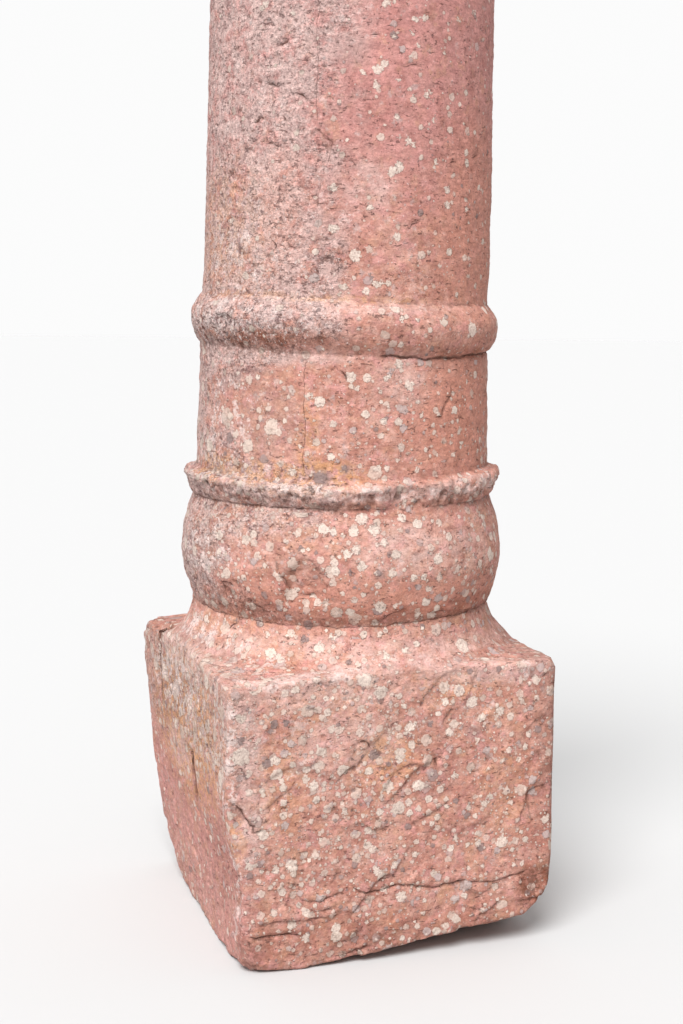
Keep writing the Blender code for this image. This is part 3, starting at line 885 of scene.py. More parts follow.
def relief(points):
    """How far the weathered surface stands proud of the form, in metres."""
    across, deep, height = np.moveaxis(points, -1, 0)
    left = left_wear(points)
    block = smoothstep(PLINTH_HEIGHT - height, -0.01, 0.01)
    shaft = smoothstep(height, ROLL_TOP - 0.01, ROLL_TOP + 0.01)
    right = shaft * smoothstep(across, 0.10, 0.17) * smoothstep(-deep, -0.05, 0.02)
    low_left = smoothstep(-across, 0.21, 0.245) * smoothstep(0.30 - height, -0.05, 0.05)
    moved = line_relief(points)
    for noise, shift, size, octaves, fall, high, on_shaft, on_block in LUMPINESS:
        lumps = noise.rough(points + shift, size, octaves, fall)
        moved = moved + (high + on_shaft * shaft + on_block * block) * lumps
    where = {
        "small": 0.35 + 0.65 * left,
        "large": 0.25 + 0.75 * left + 0.50 * right,
        "lip": bump(height, 0.674, 0.020),
    }
    for name, (noise, shift, size, start, full, deepest) in PITTING.items():
        moved = moved - deepest * where[name] * smoothstep(noise.rough(points + shift, size, 2), start, full)
    moved = moved + CRUMB_HEIGHT * bump(height, 0.680, 0.026) * PITS.rough(points + 3.0, CRUMB_SIZE, 3, 0.7)
    split = block > 0
    moved[split] += split_relief(points[split]) * (block * (1 - 0.65 * low_left))[split]
    return moved


def weather(points):
    """Every kind of damage, in the order that it came."""
    points = round_arrises(points)
    points = break_edges(points)
    points = knock_chips(points)
    normal = normals_of(points)
    on_bed = (points[..., 2] > TOTAL_HEIGHT - 1e-4) | (points[..., 2] < 1e-4)
    depth = np.where(on_bed, 0.0, relief(points))
    return points + depth[..., None] * normal


def keep_inside(points):
    """Holds every point inside the solid's box, and the two beds flat."""
    low, high = (np.array(corner) for corner in CAD_BOX)
    return np.clip(points, low, high)


# The mesh


def add_object(name, data):
    """A new object in the scene."""
    made = bpy.data.objects.new(name, data)
    bpy.context.scene.collection.objects.link(made)
    return made


def grid_mesh(points, name):
    """A closed mesh of the grid, with a point in the middle of each bed."""
    rows, columns = points.shape[:2]
    top = points[0].mean(axis=0)
    bottom = points[-1].mean(axis=0)
    vertices = np.concatenate([points.reshape(-1, 3), [top, bottom]])
    row, column = np.mgrid[0 : rows - 1, 0:columns]
    following = (column + 1) % columns
    upper, lower = row * columns, (row + 1) * columns
    quads = np.stack([upper + column, lower + column, lower + following, upper + following], -1)
    ring = np.arange(columns)
    ahead = (ring + 1) % columns
    last = (rows - 1) * columns
    top_fan = np.stack([np.full(columns, rows * columns), ring, ahead], -1)
    bottom_fan = np.stack([np.full(columns, rows * columns + 1), last + ahead, last + ring], -1)
    mesh = bpy.data.meshes.new(name)
    faces = quads.reshape(-1, 4).tolist() + top_fan.tolist() + bottom_fan.tolist()
    mesh.from_pydata(vertices.tolist(), [], faces)
    return mesh


def vertex_array(mesh, attribute):
    """The mesh's points or their normals as an array."""
    values = np.zeros(len(mesh.vertices) * 3, np.float32)
    mesh.vertices.foreach_get(attribute, values)
    return values.reshape(-1, 3).astype(float)


def hidden_share(points):
    """1 on the back and right, which may be plainer, and 0 on the sides that show most."""
    across, deep, height = points.T
    away = across * math.sin(CAMERA_YAW) + deep * math.cos(CAMERA_YAW)
    on_block = smoothstep(PLINTH_HEIGHT - height, -0.03, 0.0)
    behind_block = np.maximum(smoothstep(away, 0.165, 0.20), smoothstep(across, 0.245, 0.252))
    below_rim = smoothstep(TOTAL_HEIGHT - height, 0.001, 0.008)
    return on_block * behind_block + (1 - on_block) * below_rim * smoothstep(away, 0.03, 0.08)


def thin_mesh(mesh, name):
    """The mesh with fewer triangles where it is smooth, and fewer still on its plainer sides."""
    dense = add_object("dense", mesh)
    plain = dense.vertex_groups.new(name="plain")
    weights = SEEN_WEIGHT + (1 - SEEN_WEIGHT) * np.round(hidden_share(vertex_array(mesh, "co")) * 8) / 8
    for weight in np.unique(weights):
        plain.add(np.flatnonzero(weights == weight).tolist(), float(weight), "REPLACE")
    now = sum(len(face.vertices) - 2 for face in mesh.polygons)
    decimate = dense.modifiers.new("thin", "DECIMATE")
    decimate.ratio = TRIANGLES / now
    decimate.vertex_group = plain.name
    decimate.vertex_group_factor = HIDDEN_THINNING
    evaluated = dense.evaluated_get(bpy.context.evaluated_depsgraph_get())
    thinned = bpy.data.meshes.new_from_object(evaluated)
    thinned.name = name
    bpy.data.objects.remove(dense)
    bpy.data.meshes.remove(mesh)
    return thinned


def make_stone():
    """The whole stone as one finished piece."""
    points = keep_inside(weather(base_grid(make_columns())))
    mesh = thin_mesh(grid_mesh(points, "dense_stone"), "weathered_column")
    mesh.vertices.foreach_set("co", keep_inside(vertex_array(mesh, "co")).ravel())
    mesh.shade_smooth()
    return add_object("weathered_column", mesh)


# Soft patches of growth, stain, tone, painted shade and painted light on each sheet: their middle, half width
# and half height, and their strength in percent
PATCHES = {
    "orange": {
        "round": (
            (-108, 954, 26, 4, 60), (-152, 960, 22, 5, 40), (-122.5, 755, 4, 55, 40),
            (-117, 706, 14, 20, 70), (-140, 704, 16, 18, 60), (-166, 706, 12, 20, 60),
            (-140, 790, 12, 40, 15), (-125, 688, 18, 10, 60), (-152, 635, 22, 30, 12),
            (-127, 625, 9, 30, 16), (-150, 462, 30, 30, 18), (-120, 440, 18, 18, 15),
            (-165, 1060, 25, 80, 25),
        ),
        "front": (
            (-180, 270, 40, 70, 28), (-20, 300, 45, 40, 45), (-242, 205, 16, 30, 60),
            (90, 400, 70, 20, 30), (-110, 390, 80, 30, 20), (170, 240, 40, 60, 20),
        ),
        "left": ((-20, 310, 180, 110, 72),),
    },
    "bloom": {
        "round": (
            (-162, 930, 34, 30, 62), (-130, 925, 16, 26, 50), (-90, 935, 30, 18, 25),
            (-50, 925, 22, 22, 35), (-160, 790, 16, 60, 60), (-172, 725, 16, 30, 60),
            (-165, 692, 30, 10, 65), (-115, 688, 26, 7, 70), (-48, 690, 14, 14, 60),
            (-166, 590, 22, 50, 65), (-168, 450, 26, 34, 70), (-160, 1010, 26, 60, 55),
            (-150, 1250, 24, 100, 30), (-106, 1335, 10, 30, 35), (-112, 1060, 9, 30, 35),
            (-114, 815, 8, 30, 35), (-138, 795, 13, 50, 35), (-140, 600, 16, 30, 35),
            (-119, 1130, 8, 120, 30), (-100, 681, 80, 9, 55),
        ),
        "front": (
            (-150, 428, 90, 18, 60), (205, 415, 40, 14, 60), (-120, 330, 110, 80, 40),
            (80, 360, 100, 50, 35), (-250, 310, 10, 110, 70),
        ),
        "left": (
            (20, 365, 170, 45, 85), (-215, 330, 30, 110, 60), (-225, 70, 30, 60, 60),
            (-240, 170, 20, 80, 70), (-100, 330, 100, 60, 50),
        ),
        "top": ((-200, -205, 60, 50, 60), (-170, -140, 50, 80, 50), (-20, -245, 120, 12, 40)),
    },
    # Stains, and painted shade: under the roll, under the annulet's lip, in the crease at the torus's foot,
    # along the plinth's broken lower edges and in the left face's slit and chips
    "stain_and_shade": {
        "round": (
            (-95, 497, 80, 4.5, 80), (-140, 668, 14, 5, 70), (-108, 664, 12, 5, 90),
            (-66, 668, 8, 5, 80), (-117.5, 1172, 1.8, 13, 100), (-146, 512, 16, 14, 70),
            (-152, 880, 34, 10, 60), (-90, 886, 40, 6, 45), (-130, 900, 16, 16, 50),
            (-92, 682, 7, 6, 40), (-56, 672, 7, 6, 60),
        ),
        "front": (
            (236, 88, 30, 26, 120), (248, 240, 10, 120, 35), (-45, 36, 40, 10, 80),
            (-218, 40, 20, 14, 70), (228, 66, 30, 10, 100), (-55, 18, 30, 6, 90),
            (-214, 22, 10, 18, 90), (-120, 418, 40, 7, 60), (-243, 250, 10, 20, 80),
        ),
        "left": ((20, 340, 200, 80, 35), (134, 372, 14, 60, 150), (-53, 238, 10, 36, 160)),
        "top": ((-215, -20, 40, 100, 40), (235, -170, 40, 70, 45)),
    },
    # A browner tone, and painted shade: on the undersides of the torus and the roll, down the right-hand
    # edges of the shaft, drum and plinth's front, and in the broken lower right corner
    "browned_and_shaded": {
        "round": (
            (-62, 511, 34, 13, 55), (-110, 508, 34, 13, 45), (-150, 514, 22, 18, 50),
            (-50, 880, 22, 8, 70), (-148, 898, 28, 11, 85), (-102, 900, 26, 9, 25),
            (-45, 1160, 16, 300, 14), (-68, 1120, 12, 200, 10), (-48, 790, 20, 80, 20),
            (-152, 830, 10, 30, 20), (-102, 1214, 9, 30, 16),
        ),
        "front": (
            (235, 92, 34, 32, 100), (240, 300, 40, 150, 26), (236, 390, 34, 34, 38),
            (206, 238, 30, 30, 40), (-30, 44, 250, 26, 44), (-205, 46, 34, 26, 50),
            (170, 60, 40, 22, 44), (35, 326, 26, 30, 25),
        ),
        "left": ((131, 327, 50, 50, 25), (0, 355, 60, 40, 25), (-157, 127, 80, 50, 22)),
        "top": ((-235, 180, 40, 60, 45),),
    },
    # Paler stone, and painted light: on the band of the annulet's broken lip and just under the roll
    "pale": {
        "round": (
            (-120, 450, 80, 22, 32), (-88, 605, 14, 30, 35), (-64, 595, 14, 30, 20),
            (-86, 840, 9, 34, 30), (-55, 690, 22, 10, 45), (-150, 1300, 26, 150, 25),
            (-140, 1080, 12, 80, 30), (-102, 1112, 8, 30, 35), (-112, 1340, 10, 50, 25),
            (-150, 872, 40, 10, 40), (-125, 945, 50, 12, 30), (-100, 682, 70, 10, 45),
        ),
        "front": (
            (-150, 433, 100, 20, 55), (140, 425, 90, 20, 35), (-80, 335, 70, 40, 28),
            (-226, 335, 18, 50, 45), (-120, 400, 130, 20, 35), (-218, 245, 22, 70, 40),
        ),
        "left": ((-20, 415, 140, 26, 50), (24, 255, 60, 34, 35)),
        "top": ((-60, -245, 200, 16, 30), (-240, -100, 30, 140, 25)),
    },
    "ruddy": {
        "round": (
            (-58, 790, 26, 90, 80), (-50, 1060, 22, 150, 60), (-80, 530, 60, 26, 60),
            (-140, 530, 22, 30, 50), (-130, 895, 24, 16, 50), (-135, 1080, 8, 80, 40),
        ),
    },
    "greyed": {
        "round": (
            (-117.1, 703, 3, 11, 100), (-108.5, 715, 2, 7, 80), (-96.7, 568, 1.6, 6, 70),
            (-84.2, 592, 1.6, 6, 60), (-110, 1295, 7, 20, 50), (-168, 580, 14, 45, 32),
            (-140, 785, 13, 46, 34), (-127, 597, 10, 30, 15),
        ),
        "front": (
            (236, 410, 36, 30, 25), (240, 330, 16, 80, 20), (-150, 300, 8, 9, 70),
            (120, 330, 12, 10, 60),
        ),
        "top": ((-224, 10, 50, 120, 30), (-184, -77, 45, 70, 25), (245, -170, 36, 80, 32)),
    },
}
PERCENT = 100

# The crusts of lichen that show most, as the photo has them: their tone from pale to dark, then pixels
# across, pixels down and radius in pixels
SEEN_CRUSTS = (
    (0.0, (
        (266, 4, 3.5), (386, 4, 4), (293, 14, 2.5), (415, 19, 3.5), (424, 18, 2.5), (474, 13, 3),
        (459, 20, 2.5), (412, 33, 2.5), (419, 45, 2.2), (411, 56, 2), (445, 53, 2), (377, 69, 4.5),
        (385, 64, 4), (363, 72, 3), (376, 86, 3.5), (399, 80, 2.2), (415, 97, 2.5), (427, 96, 3),
        (397, 117, 3), (434, 120, 2.5), (398, 137, 2), (409, 141, 3.5), (414, 145, 3), (437, 162, 3.5),
        (392, 172, 4.5), (399, 167, 5), (333, 187, 4.5), (370, 207, 3), (447, 190, 4), (447, 205, 4),
        (479, 187, 3), (467, 210, 3), (333, 228, 5), (397, 237, 4.5), (355, 256, 6), (384, 283, 3),
        (366, 291, 4), (457, 296, 3), (402, 319, 3.5), (216, 302, 4), (351, 377, 6), (399, 364, 4.5),
        (387, 378, 3), (410, 386, 5), (320, 402, 5.5), (357, 388, 2.5), (389, 408, 2.5), (384, 421, 3),
        (467, 382, 2.5), (446, 425, 2.2), (401, 448, 2.5), (378, 469, 3.5), (417, 470, 2.5), (293, 472, 4),
        (361, 519, 6), (402, 518, 4.5), (418, 524, 5), (375, 530, 6), (323, 529, 5.5), (334, 532, 4),
        (384, 543, 4), (347, 555, 4.5), (356, 550, 4.5), (362, 566, 5), (438, 559, 5.5), (414, 578, 4),
        (424, 577, 3.5), (236, 564, 2.2), (333, 637, 3.5), (334, 646, 2.5), (462, 646, 8), (406, 650, 4),
        (320, 648, 5), (387, 656, 4), (267, 634, 3), (381, 692, 7), (365, 680, 7), (241, 757, 9),
        (276, 761, 5), (472, 702, 6), (500, 711, 5), (404, 706, 3), (445, 702, 4), (419, 786, 6),
        (314, 785, 5), (410, 727, 5), (449, 732, 4.5), (263, 835, 6), (502, 842, 6), (450, 848, 4),
        (456, 839, 3), (478, 843, 3), (432, 824, 3.5), (394, 866, 4), (377, 871, 4.5), (292, 866, 6),
        (250, 866, 4.5), (401, 897, 5), (283, 893, 4), (336, 928, 5), (345, 812, 4), (380, 812, 4),
    )),
    (0.55, (
        (343, 287, 3.5), (377, 284, 4), (309, 396, 4), (333, 424, 3.5), (396, 555, 5), (393, 573, 5),
        (326, 604, 4), (350, 612, 4.5), (354, 600, 3.5), (381, 607, 6), (429, 589, 3.5), (244, 615, 4),
        (262, 686, 5), (241, 719, 5), (400, 753, 6), (388, 786, 6), (398, 808, 7), (455, 776, 4),
        (490, 797, 4), (484, 804, 3.5), (368, 831, 4), (275, 869, 4), (274, 913, 4), (456, 919, 5),
        (292, 925, 5), (306, 938, 4.5), (332, 729, 4), (283, 788, 4), (321, 752, 5.5),
    )),
    (0.8, (
        (314, 278, 4.5), (438, 598, 5), (532, 780, 4.5), (531, 790, 4.5), (466, 886, 6.5), (455, 899, 4.5),
        (320, 899, 4), (285, 826, 4), (291, 744, 4), (412, 903, 3), (486, 751, 4.5),
    )),
    (1.0, (
        (371, 277, 3), (320, 478, 6.5), (345, 469, 3), (408, 531, 2.6), (378, 573, 3.2), (351, 573, 3),
        (300, 549, 3), (305, 639, 4), (267, 763, 5), (274, 724, 4.5), (286, 723, 4), (240, 741, 4),
        (301, 828, 2.4), (409, 736, 2.6), (430, 724, 3), (349, 662, 3),
    )),
)
# How much of the largest unplaced crusts there is on the seen mouldings and plinth
SEEN_LARGE_CRUSTS = 0.45


def paint_seen_crusts(stone):
    """Stores how far inside a seen crust each point lies, in metres, and that crust's tone."""
    bpy.context.view_layer.update()
    camera = bpy.context.scene.camera.matrix_world
    points = vertex_array(stone.data, "co")
    inside = np.full(len(points), -CRUST_FIELD_REACH)
    tones = np.zeros(len(points))
    for tone, crusts in SEEN_CRUSTS:
        for across, down, radius in crusts:
            aside = (across - IMAGE_WIDTH / 2) / CAMERA_FOCAL_PIXELS
            above = (IMAGE_HEIGHT / 2 - down) / CAMERA_FOCAL_PIXELS
            way = (camera.to_3x3() @ Vector((aside, above, -1.0))).normalized()
            _, place, _, _ = stone.ray_cast(camera.translation, way)
            distance = (place - camera.translation).length
            gap = radius * distance / CAMERA_FOCAL_PIXELS - np.linalg.norm(points - np.array(place), axis=1)
            tones = np.where(gap > inside, tone, tones)
            inside = np.maximum(inside, gap)
    shaft = smoothstep(points[:, 2], ROLL_MIDDLE, ROLL_TOP)
    hidden = hidden_share(points)
    large = hidden + SEEN_LARGE_CRUSTS * (1 - hidden) * (1 - shaft)
    add_vectors(stone.data, "seen_crusts", (inside, tones, large))


def patch_cover(points, kind):
    """How strongly the soft patches of one kind cover each point."""
    cover = np.zeros(len(points))
    laid = lay_sheets(points)
    for sheet, patches in PATCHES[kind].items():
        across, up, on_sheet = laid[sheet]
        for middle, level, half_width, half_height, strength in patches:
            centre = sheet_point(sheet, (middle, level))
            width = (across - centre[0]) / sheet_size(sheet, half_width)
            away = np.hypot(width, (up - centre[1]) / (half_height / MILLIMETRES))
            soft = on_sheet * strength / PERCENT * smoothstep(1.6 - away)
            cover = np.maximum(cover, soft)
    return cover


def hollowness(mesh, rounds):
    """How hollow the surface is at each point, in metres, against a smoothed copy of itself."""
    points = vertex_array(mesh, "co")
    normal = vertex_array(mesh, "normal")
    edges = np.zeros(len(mesh.edges) * 2, np.int32)
    mesh.edges.foreach_get("vertices", edges)
    edges = edges.reshape(-1, 2)
    here, there = np.concatenate([edges, edges[:, ::-1]]).T
    count = np.bincount(here, minlength=len(points))[:, None]

    def neighbours(values):
        """The mean of the values at each point's neighbours."""
        sums = [np.bincount(here, weights=part[there], minlength=len(points)) for part in values.T]
        return np.stack(sums, 1) / count

    middle = points
    for _ in range(rounds):
        middle = (middle + neighbours(middle)) / 2
    depth = np.einsum("ij,ij->i", middle - points, normal)[:, None]
    depth = (depth + neighbours(depth)) / 2
    return depth[:, 0]


def line_channels():
    """Which of three channels each line is drawn in, so that lines close together don't share one."""
    boxes, channels = [], []
    for sheet, _, _, line in drawn_lines():
        low, high = line.min(axis=0) - LINE_REACH / 2, line.max(axis=0) + LINE_REACH / 2
        close = set()
        for channel, (other, other_low, other_high) in zip(channels, boxes):
            if other == sheet and (low < other_high).all() and (high > other_low).all():
                close.add(channel)
        boxes.append((sheet, low, high))
        channels.append(next((channel for channel in range(3) if channel not in close), 2))
    return channels


def add_vectors(mesh, name, values):
    """Stores three numbers for each point."""
    attribute = mesh.attributes.new(name, "FLOAT_VECTOR", "POINT")
    attribute.data.foreach_set("vector", np.stack(values, 1).astype(np.float32).ravel())


def paint_lines(mesh):
    """Stores each point's distance from the lines and their strength, in three channels, for the painted
    shade of the cracks.
    """
    points = vertex_array(mesh, "co")
    side = np.full((3, len(points)), LINE_REACH)
    strength = np.zeros((3, len(points)))
    channels = line_channels()
    for order, groove, _, near, distance, along_line in line_places(points):
        channel = channels[order]
        drawn = along_line * min(MOST_DRAWN, groove / FULLY_DRAWN)
        drawn = drawn * smoothstep(1 - np.abs(distance) / DRAWN_REACH)
        closer = np.zeros(len(points), bool)
        closer[near] = np.abs(distance) < np.abs(side[channel][near])
        side[channel][closer] = distance[closer[near]]
        strength[channel][closer] = drawn[closer[near]]
    add_vectors(mesh, "line_side", side)
    add_vectors(mesh, "line_strength", strength)


# What is stored for each point, in threes, under the name of each attribute
STORED = {
    "growth": ("orange", "crust", "bloom"),
    "wear": ("worn", "fine_hollow", "broad_hollow"),
    "marks": ("stain_and_shade", "greyed", "low_left"),
    "tones": ("browned_and_shaded", "pale", "ruddy"),
}
# Hollows of two breadths, whose depth sets the painted shade in creases and hollows: over how many rounds of
# smoothing, and the depth in metres that counts as full
HOLLOWS = {"fine_hollow": (3, 0.0012), "broad_hollow": (30, 0.0060)}


def paint_masks(mesh):
    """Stores where the growths, stains, wear, painted shade and painted light are."""
    points = vertex_array(mesh, "co")
    across, _, height = points.T
    left = left_wear(points)
    on_block = smoothstep(PLINTH_HEIGHT - height, -0.02, 0.02)
    left_face = on_block * smoothstep(-across, 0.205, 0.235)
    low_left = left_face * smoothstep(0.27 - height, -0.05, 0.05)
    crust = 0.35 + 0.65 * smoothstep(height, 1.05, 0.60)
    crust = crust * (1 - 0.5 * left * (1 - on_block) * smoothstep(height, 0.9, 1.0)) * (1 - 0.7 * low_left)
    crust = crust * (1 - 0.4 * bump(height, PLINTH_HEIGHT + 0.04, 0.04))
    crust = crust * (1 + 0.5 * on_block * smoothstep(height, 0.06, 0.20))
    masks = {kind: patch_cover(points, kind) for kind in PATCHES}
    masks["crust"] = crust
    masks["bloom"] = np.maximum(masks["bloom"], 0.25 * left)
    masks["worn"] = np.maximum(left * (1 - on_block), 0.5 * left_face * (1 - low_left))
    masks["low_left"] = low_left
    for name, (rounds, full) in HOLLOWS.items():
        masks[name] = np.clip(hollowness(mesh, rounds) / full, -1, 1)
    for attribute, names in STORED.items():
        add_vectors(mesh, attribute, [masks[name] for name in names])


# Stage: camera, floor and light


def make_camera():
    """A camera where the photo was taken from."""
    level = math.cos(CAMERA_PITCH)
    forward = Vector((
        math.sin(CAMERA_YAW) * level, math.cos(CAMERA_YAW) * level, -math.sin(CAMERA_PITCH),
    ))
    level_right = Vector((math.cos(CAMERA_YAW), -math.sin(CAMERA_YAW), 0.0))
    level_up = level_right.cross(forward)
    right = level_right * math.cos(CAMERA_ROLL) + level_up * math.sin(CAMERA_ROLL)
    up = -level_right * math.sin(CAMERA_ROLL) + level_up * math.cos(CAMERA_ROLL)
    data = bpy.data.cameras.new("camera")
    data.sensor_width = SENSOR
    data.lens = CAMERA_FOCAL_PIXELS / IMAGE_HEIGHT * SENSOR
    camera = add_object("camera", data)
    turned = Matrix((right, up, -forward)).transposed().to_4x4()
    turned.translation = CAMERA_PLACE
    camera.matrix_world = turned
    bpy.context.scene.camera = camera


def floor_material():
    """A single-colour material for the floor."""
    material = bpy.data.materials.new("floor_paint")
    material.use_nodes = True
    shader = material.node_tree.nodes["Principled BSDF"]
    shader.inputs["Base Color"].default_value = (*FLOOR_PAINT, 1.0)
    shader.inputs["Roughness"].default_value = FLOOR_ROUGHNESS
    return material


def make_floor():
    """A plain pale floor under the stone."""
    shape = bmesh.new()
    bmesh.ops.create_grid(shape, x_segments=1, y_segments=1, size=FLOOR_SIZE / 2)
    mesh = bpy.data.meshes.new("floor")
    shape.to_mesh(mesh)
    shape.free()
    mesh.materials.append(floor_material())
    floor = add_object("floor", mesh)
    floor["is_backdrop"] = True


def make_key():
    """One broad soft light from above on the left."""
    data = bpy.data.lights.new("key", "SUN")
    data.angle = KEY_ANGLE
    data.energy = KEY_STRENGTH
    light = add_object("key", data)
    light.rotation_euler = (-Vector(KEY_FROM)).to_track_quat("-Z", "Y").to_euler()


def make_light():
    """A pale surround, white where the camera sees it, and one soft light."""
    world = bpy.data.worlds.new("surround")
    world.use_nodes = True
    nodes, links = world.node_tree.nodes, world.node_tree.links
    split = nodes.new("ShaderNodeSeparateXYZ")
    ramp = nodes.new("ShaderNodeFloatCurve")
    curve = ramp.mapping.curves[0]
    ramp.mapping.clip_max_y = 2.0
    while len(curve.points) < len(SURROUND):
        curve.points.new(0.5, 0.5)
    for point, place in zip(curve.points, SURROUND):
        point.location = place
        point.handle_type = "VECTOR"
    ramp.mapping.update()
    direction = nodes.new("ShaderNodeTexCoord").outputs["Generated"]
    links.new(direction, split.inputs["Vector"])
    links.new(split.outputs["Z"], ramp.inputs["Value"])
    toward = nodes.new("ShaderNodeVectorMath")
    toward.operation = "DOT_PRODUCT"
    toward.inputs[1].default_value = DARK_SIDE
    links.new(direction, toward.inputs[0])
    dimmed = nodes.new("ShaderNodeMapRange")
    dimmed.interpolation_type = "SMOOTHSTEP"
    limits = (*DARK_FADE, 1.0, 1.0 - DARK_SHARE)
    for name, number in zip(("From Min", "From Max", "To Min", "To Max"), limits):
        dimmed.inputs[name].default_value = number
    links.new(toward.outputs["Value"], dimmed.inputs["Value"])
    strength = nodes.new("ShaderNodeMath")
    strength.operation = "MULTIPLY"
    links.new(ramp.outputs["Value"], strength.inputs[0])
    links.new(dimmed.outputs["Result"], strength.inputs[1])
    links.new(strength.outputs["Value"], nodes["Background"].inputs["Strength"])
    nodes["Background"].inputs["Color"].default_value = (1.0, 1.0, 1.0, 1.0)
    bpy.context.scene.world = world
    bpy.context.scene.view_settings.view_transform = "Standard"
    make_key()


# How far apart the places are where two noises of different order are read
NOISE_SHIFT = (1.3, 2.1, 0.7)
# The flakes' outlines wander over this size by this much, in metres
FLAKE_WARP_SIZE = 0.009
FLAKE_WARP = 0.008


class Nodes:
    """Short ways to add nodes to a material. A value is a number, a colour, or another node's output."""

    def __init__(self, name):
        self.material = bpy.data.materials.new(name)
        self.material.use_nodes = True
        self.tree = self.material.node_tree
        self.shader = self.tree.nodes["Principled BSDF"]

    def feed(self, socket, value):
        """Sets or links one input."""
        if isinstance(value, bpy.types.NodeSocket):
            self.tree.links.new(value, socket)
        elif value is not None:
            socket.default_value = value

    def add(self, kind, settings=None, **inputs):
        """A new node with its settings and its inputs by name."""
        node = self.tree.nodes.new("ShaderNode" + kind)
        for setting, value in (settings or {}).items():
            setattr(node, setting, value)
        for name, value in inputs.items():
            self.feed(node.inputs[name], value)
        return node

    def calculated(self, kind, operation, values):
        """The result of one calculation on numbers or on vectors."""
        node = self.add(kind, {"operation": operation})
        for socket, value in zip(node.inputs, values):
            self.feed(socket, value)
        return node.outputs[0]

    def math(self, operation, *numbers):
        """One calculation on numbers."""
        return self.calculated("Math", operation, numbers)

    def vector(self, operation, *vectors):
        """One calculation on vectors."""
        return self.calculated("VectorMath", operation, vectors)

    def times(self, first, second, plus=None):
        """The product of two numbers, with a third added where there is one."""
        return self.math("MULTIPLY" if plus is None else "MULTIPLY_ADD", first, second, plus)

    def rise(self, value, low, high):
        """0 below low, 1 above high and smooth between; low may be the larger."""
        inputs = {"Value": value, "From Min": low, "From Max": high}
        return self.add("MapRange", {"interpolation_type": "SMOOTHSTEP"}, **inputs).outputs["Result"]

    def mix(self, share, first, second, blend="MIX"):
        """A mix of two colours."""
        node = self.add("Mix", {"data_type": "RGBA", "blend_type": blend, "clamp_factor": True})
        self.feed(node.inputs["Factor"], share)
        self.feed(node.inputs[6], first)
        self.feed(node.inputs[7], second)
        return node.outputs[2]

    def moved(self, place, order):
        """A place far from the first, so that the same noise there is a different one."""
        return self.vector("ADD", place, tuple(order * shift for shift in NOISE_SHIFT))

    def noise(self, place, order, size, detail=3.0, roughness=0.55):
        """Noise from 0 to 1, a different one for each order; its lumps' size has one or three numbers."""
        place = self.moved(place, order) if order else place
        if isinstance(size, tuple):
            place, size = self.vector("DIVIDE", place, size), 1.0
        inputs = {"Vector": place, "Scale": 1 / size, "Detail": detail, "Roughness": roughness}
        return self.add("TexNoise", None, **inputs).outputs[0]

    def flakes(self, place, sizes):
        """The surface split into flat flakes of a size in metres: a random number from 0 to 1 for each."""
        inputs = {"Vector": place, "Scale": 1 / FLAKE_WARP_SIZE, "Detail": 2.0}
        shift = self.add("TexNoise", None, **inputs).outputs["Color"]
        warped = self.vector("MULTIPLY_ADD", shift, (FLAKE_WARP,) * 3, place)
        scaled = self.vector("DIVIDE", warped, sizes)
        cells = self.add("TexVoronoi", {"voronoi_dimensions": "3D"}, Vector=scaled, Scale=1.0)
        return self.add("SeparateColor", None, Color=cells.outputs["Color"]).outputs[0]

    def paint(self, base, share, strength, over):
        """A colour laid over the base where a share says so, at most that strong."""
        return self.mix(self.times(share, strength), base, over)

    def lay(self, base, place, here, layers):
        """The colours of a table laid over the base, each where its share and its noise say so."""
        for where, strength, over, *noise in layers:
            share = here[where]
            if noise:
                *inputs, low, high = noise
                mottling = self.rise(self.noise(place, *inputs), low, high)
                share = mottling if where == "all" else self.times(share, mottling)
            base = self.paint(base, share, strength, over)
        return base

    def shade(self, base, grain, amount):
        """A colour made lighter and darker by a noise about 0.5."""
        node = self.add("VectorMath", {"operation": "SCALE"}, Scale=self.times(grain, amount, 1 - amount / 2))
        self.feed(node.inputs[0], base)
        return node.outputs[0]

    def stored(self, name):
        """The three numbers stored for each point under a name."""
        vector = self.add("Attribute", {"attribute_name": name}).outputs["Vector"]
        return self.add("SeparateXYZ", None, Vector=vector).outputs


# How brightly an upright white face is lit, so that the stone's colours can be given as they look
LIT = 1.28


def colour(red, green, blue):
    """The colour that an upright face needs so that a screen shows it as these values from 0 to 255."""
    linear = [((value / 255 + 0.055) / 1.055) ** 2.4 / LIT for value in (red, green, blue)]
    return (*linear, 1.0)


DEEP_SALMON = colour(196, 138, 122)
SALMON = colour(210, 154, 138)
PALE_SALMON = colour(230, 186, 172)
ROSE = colour(208, 146, 142)
BRICK = colour(166, 106, 92)
OCHRE = colour(208, 158, 124)
PINK = colour(220, 158, 152)
TAN = colour(206, 156, 128)
DUSKY_RED = colour(176, 116, 108)
BRIGHT_ORANGE = colour(226, 168, 108)
PALE_PINK = colour(238, 206, 198)
RUDDY = colour(214, 148, 128)
MAUVE = colour(220, 188, 181)
# The colour of the dark pits, partly painted shade in them
DARK_MAUVE = colour(112, 82, 80)
PURPLE_BROWN = colour(152, 118, 116)
# The brown of the painted shade in cracks, and of the dark nicks, which are partly painted shade
SHADE_BROWN = colour(104, 70, 60)
CREAM = colour(244, 224, 210)
CHALK = colour(244, 226, 220)
ASH = colour(226, 206, 192)
LILAC_GREY = colour(204, 182, 178)
SLATE = colour(156, 134, 130)
# A dark brown for stains and for painted shade in hollows, in creases and round the crusts
GRIME_AND_SHADE = colour(124, 84, 70)
# What the browned and shaded places are multiplied by, and how strongly: a browner tone in places, painted
# shade in others
BROWNING_AND_SHADE = (0.54, 0.38, 0.30, 1.0)
BROWNING_AND_SHADE_STRENGTH = 1.2

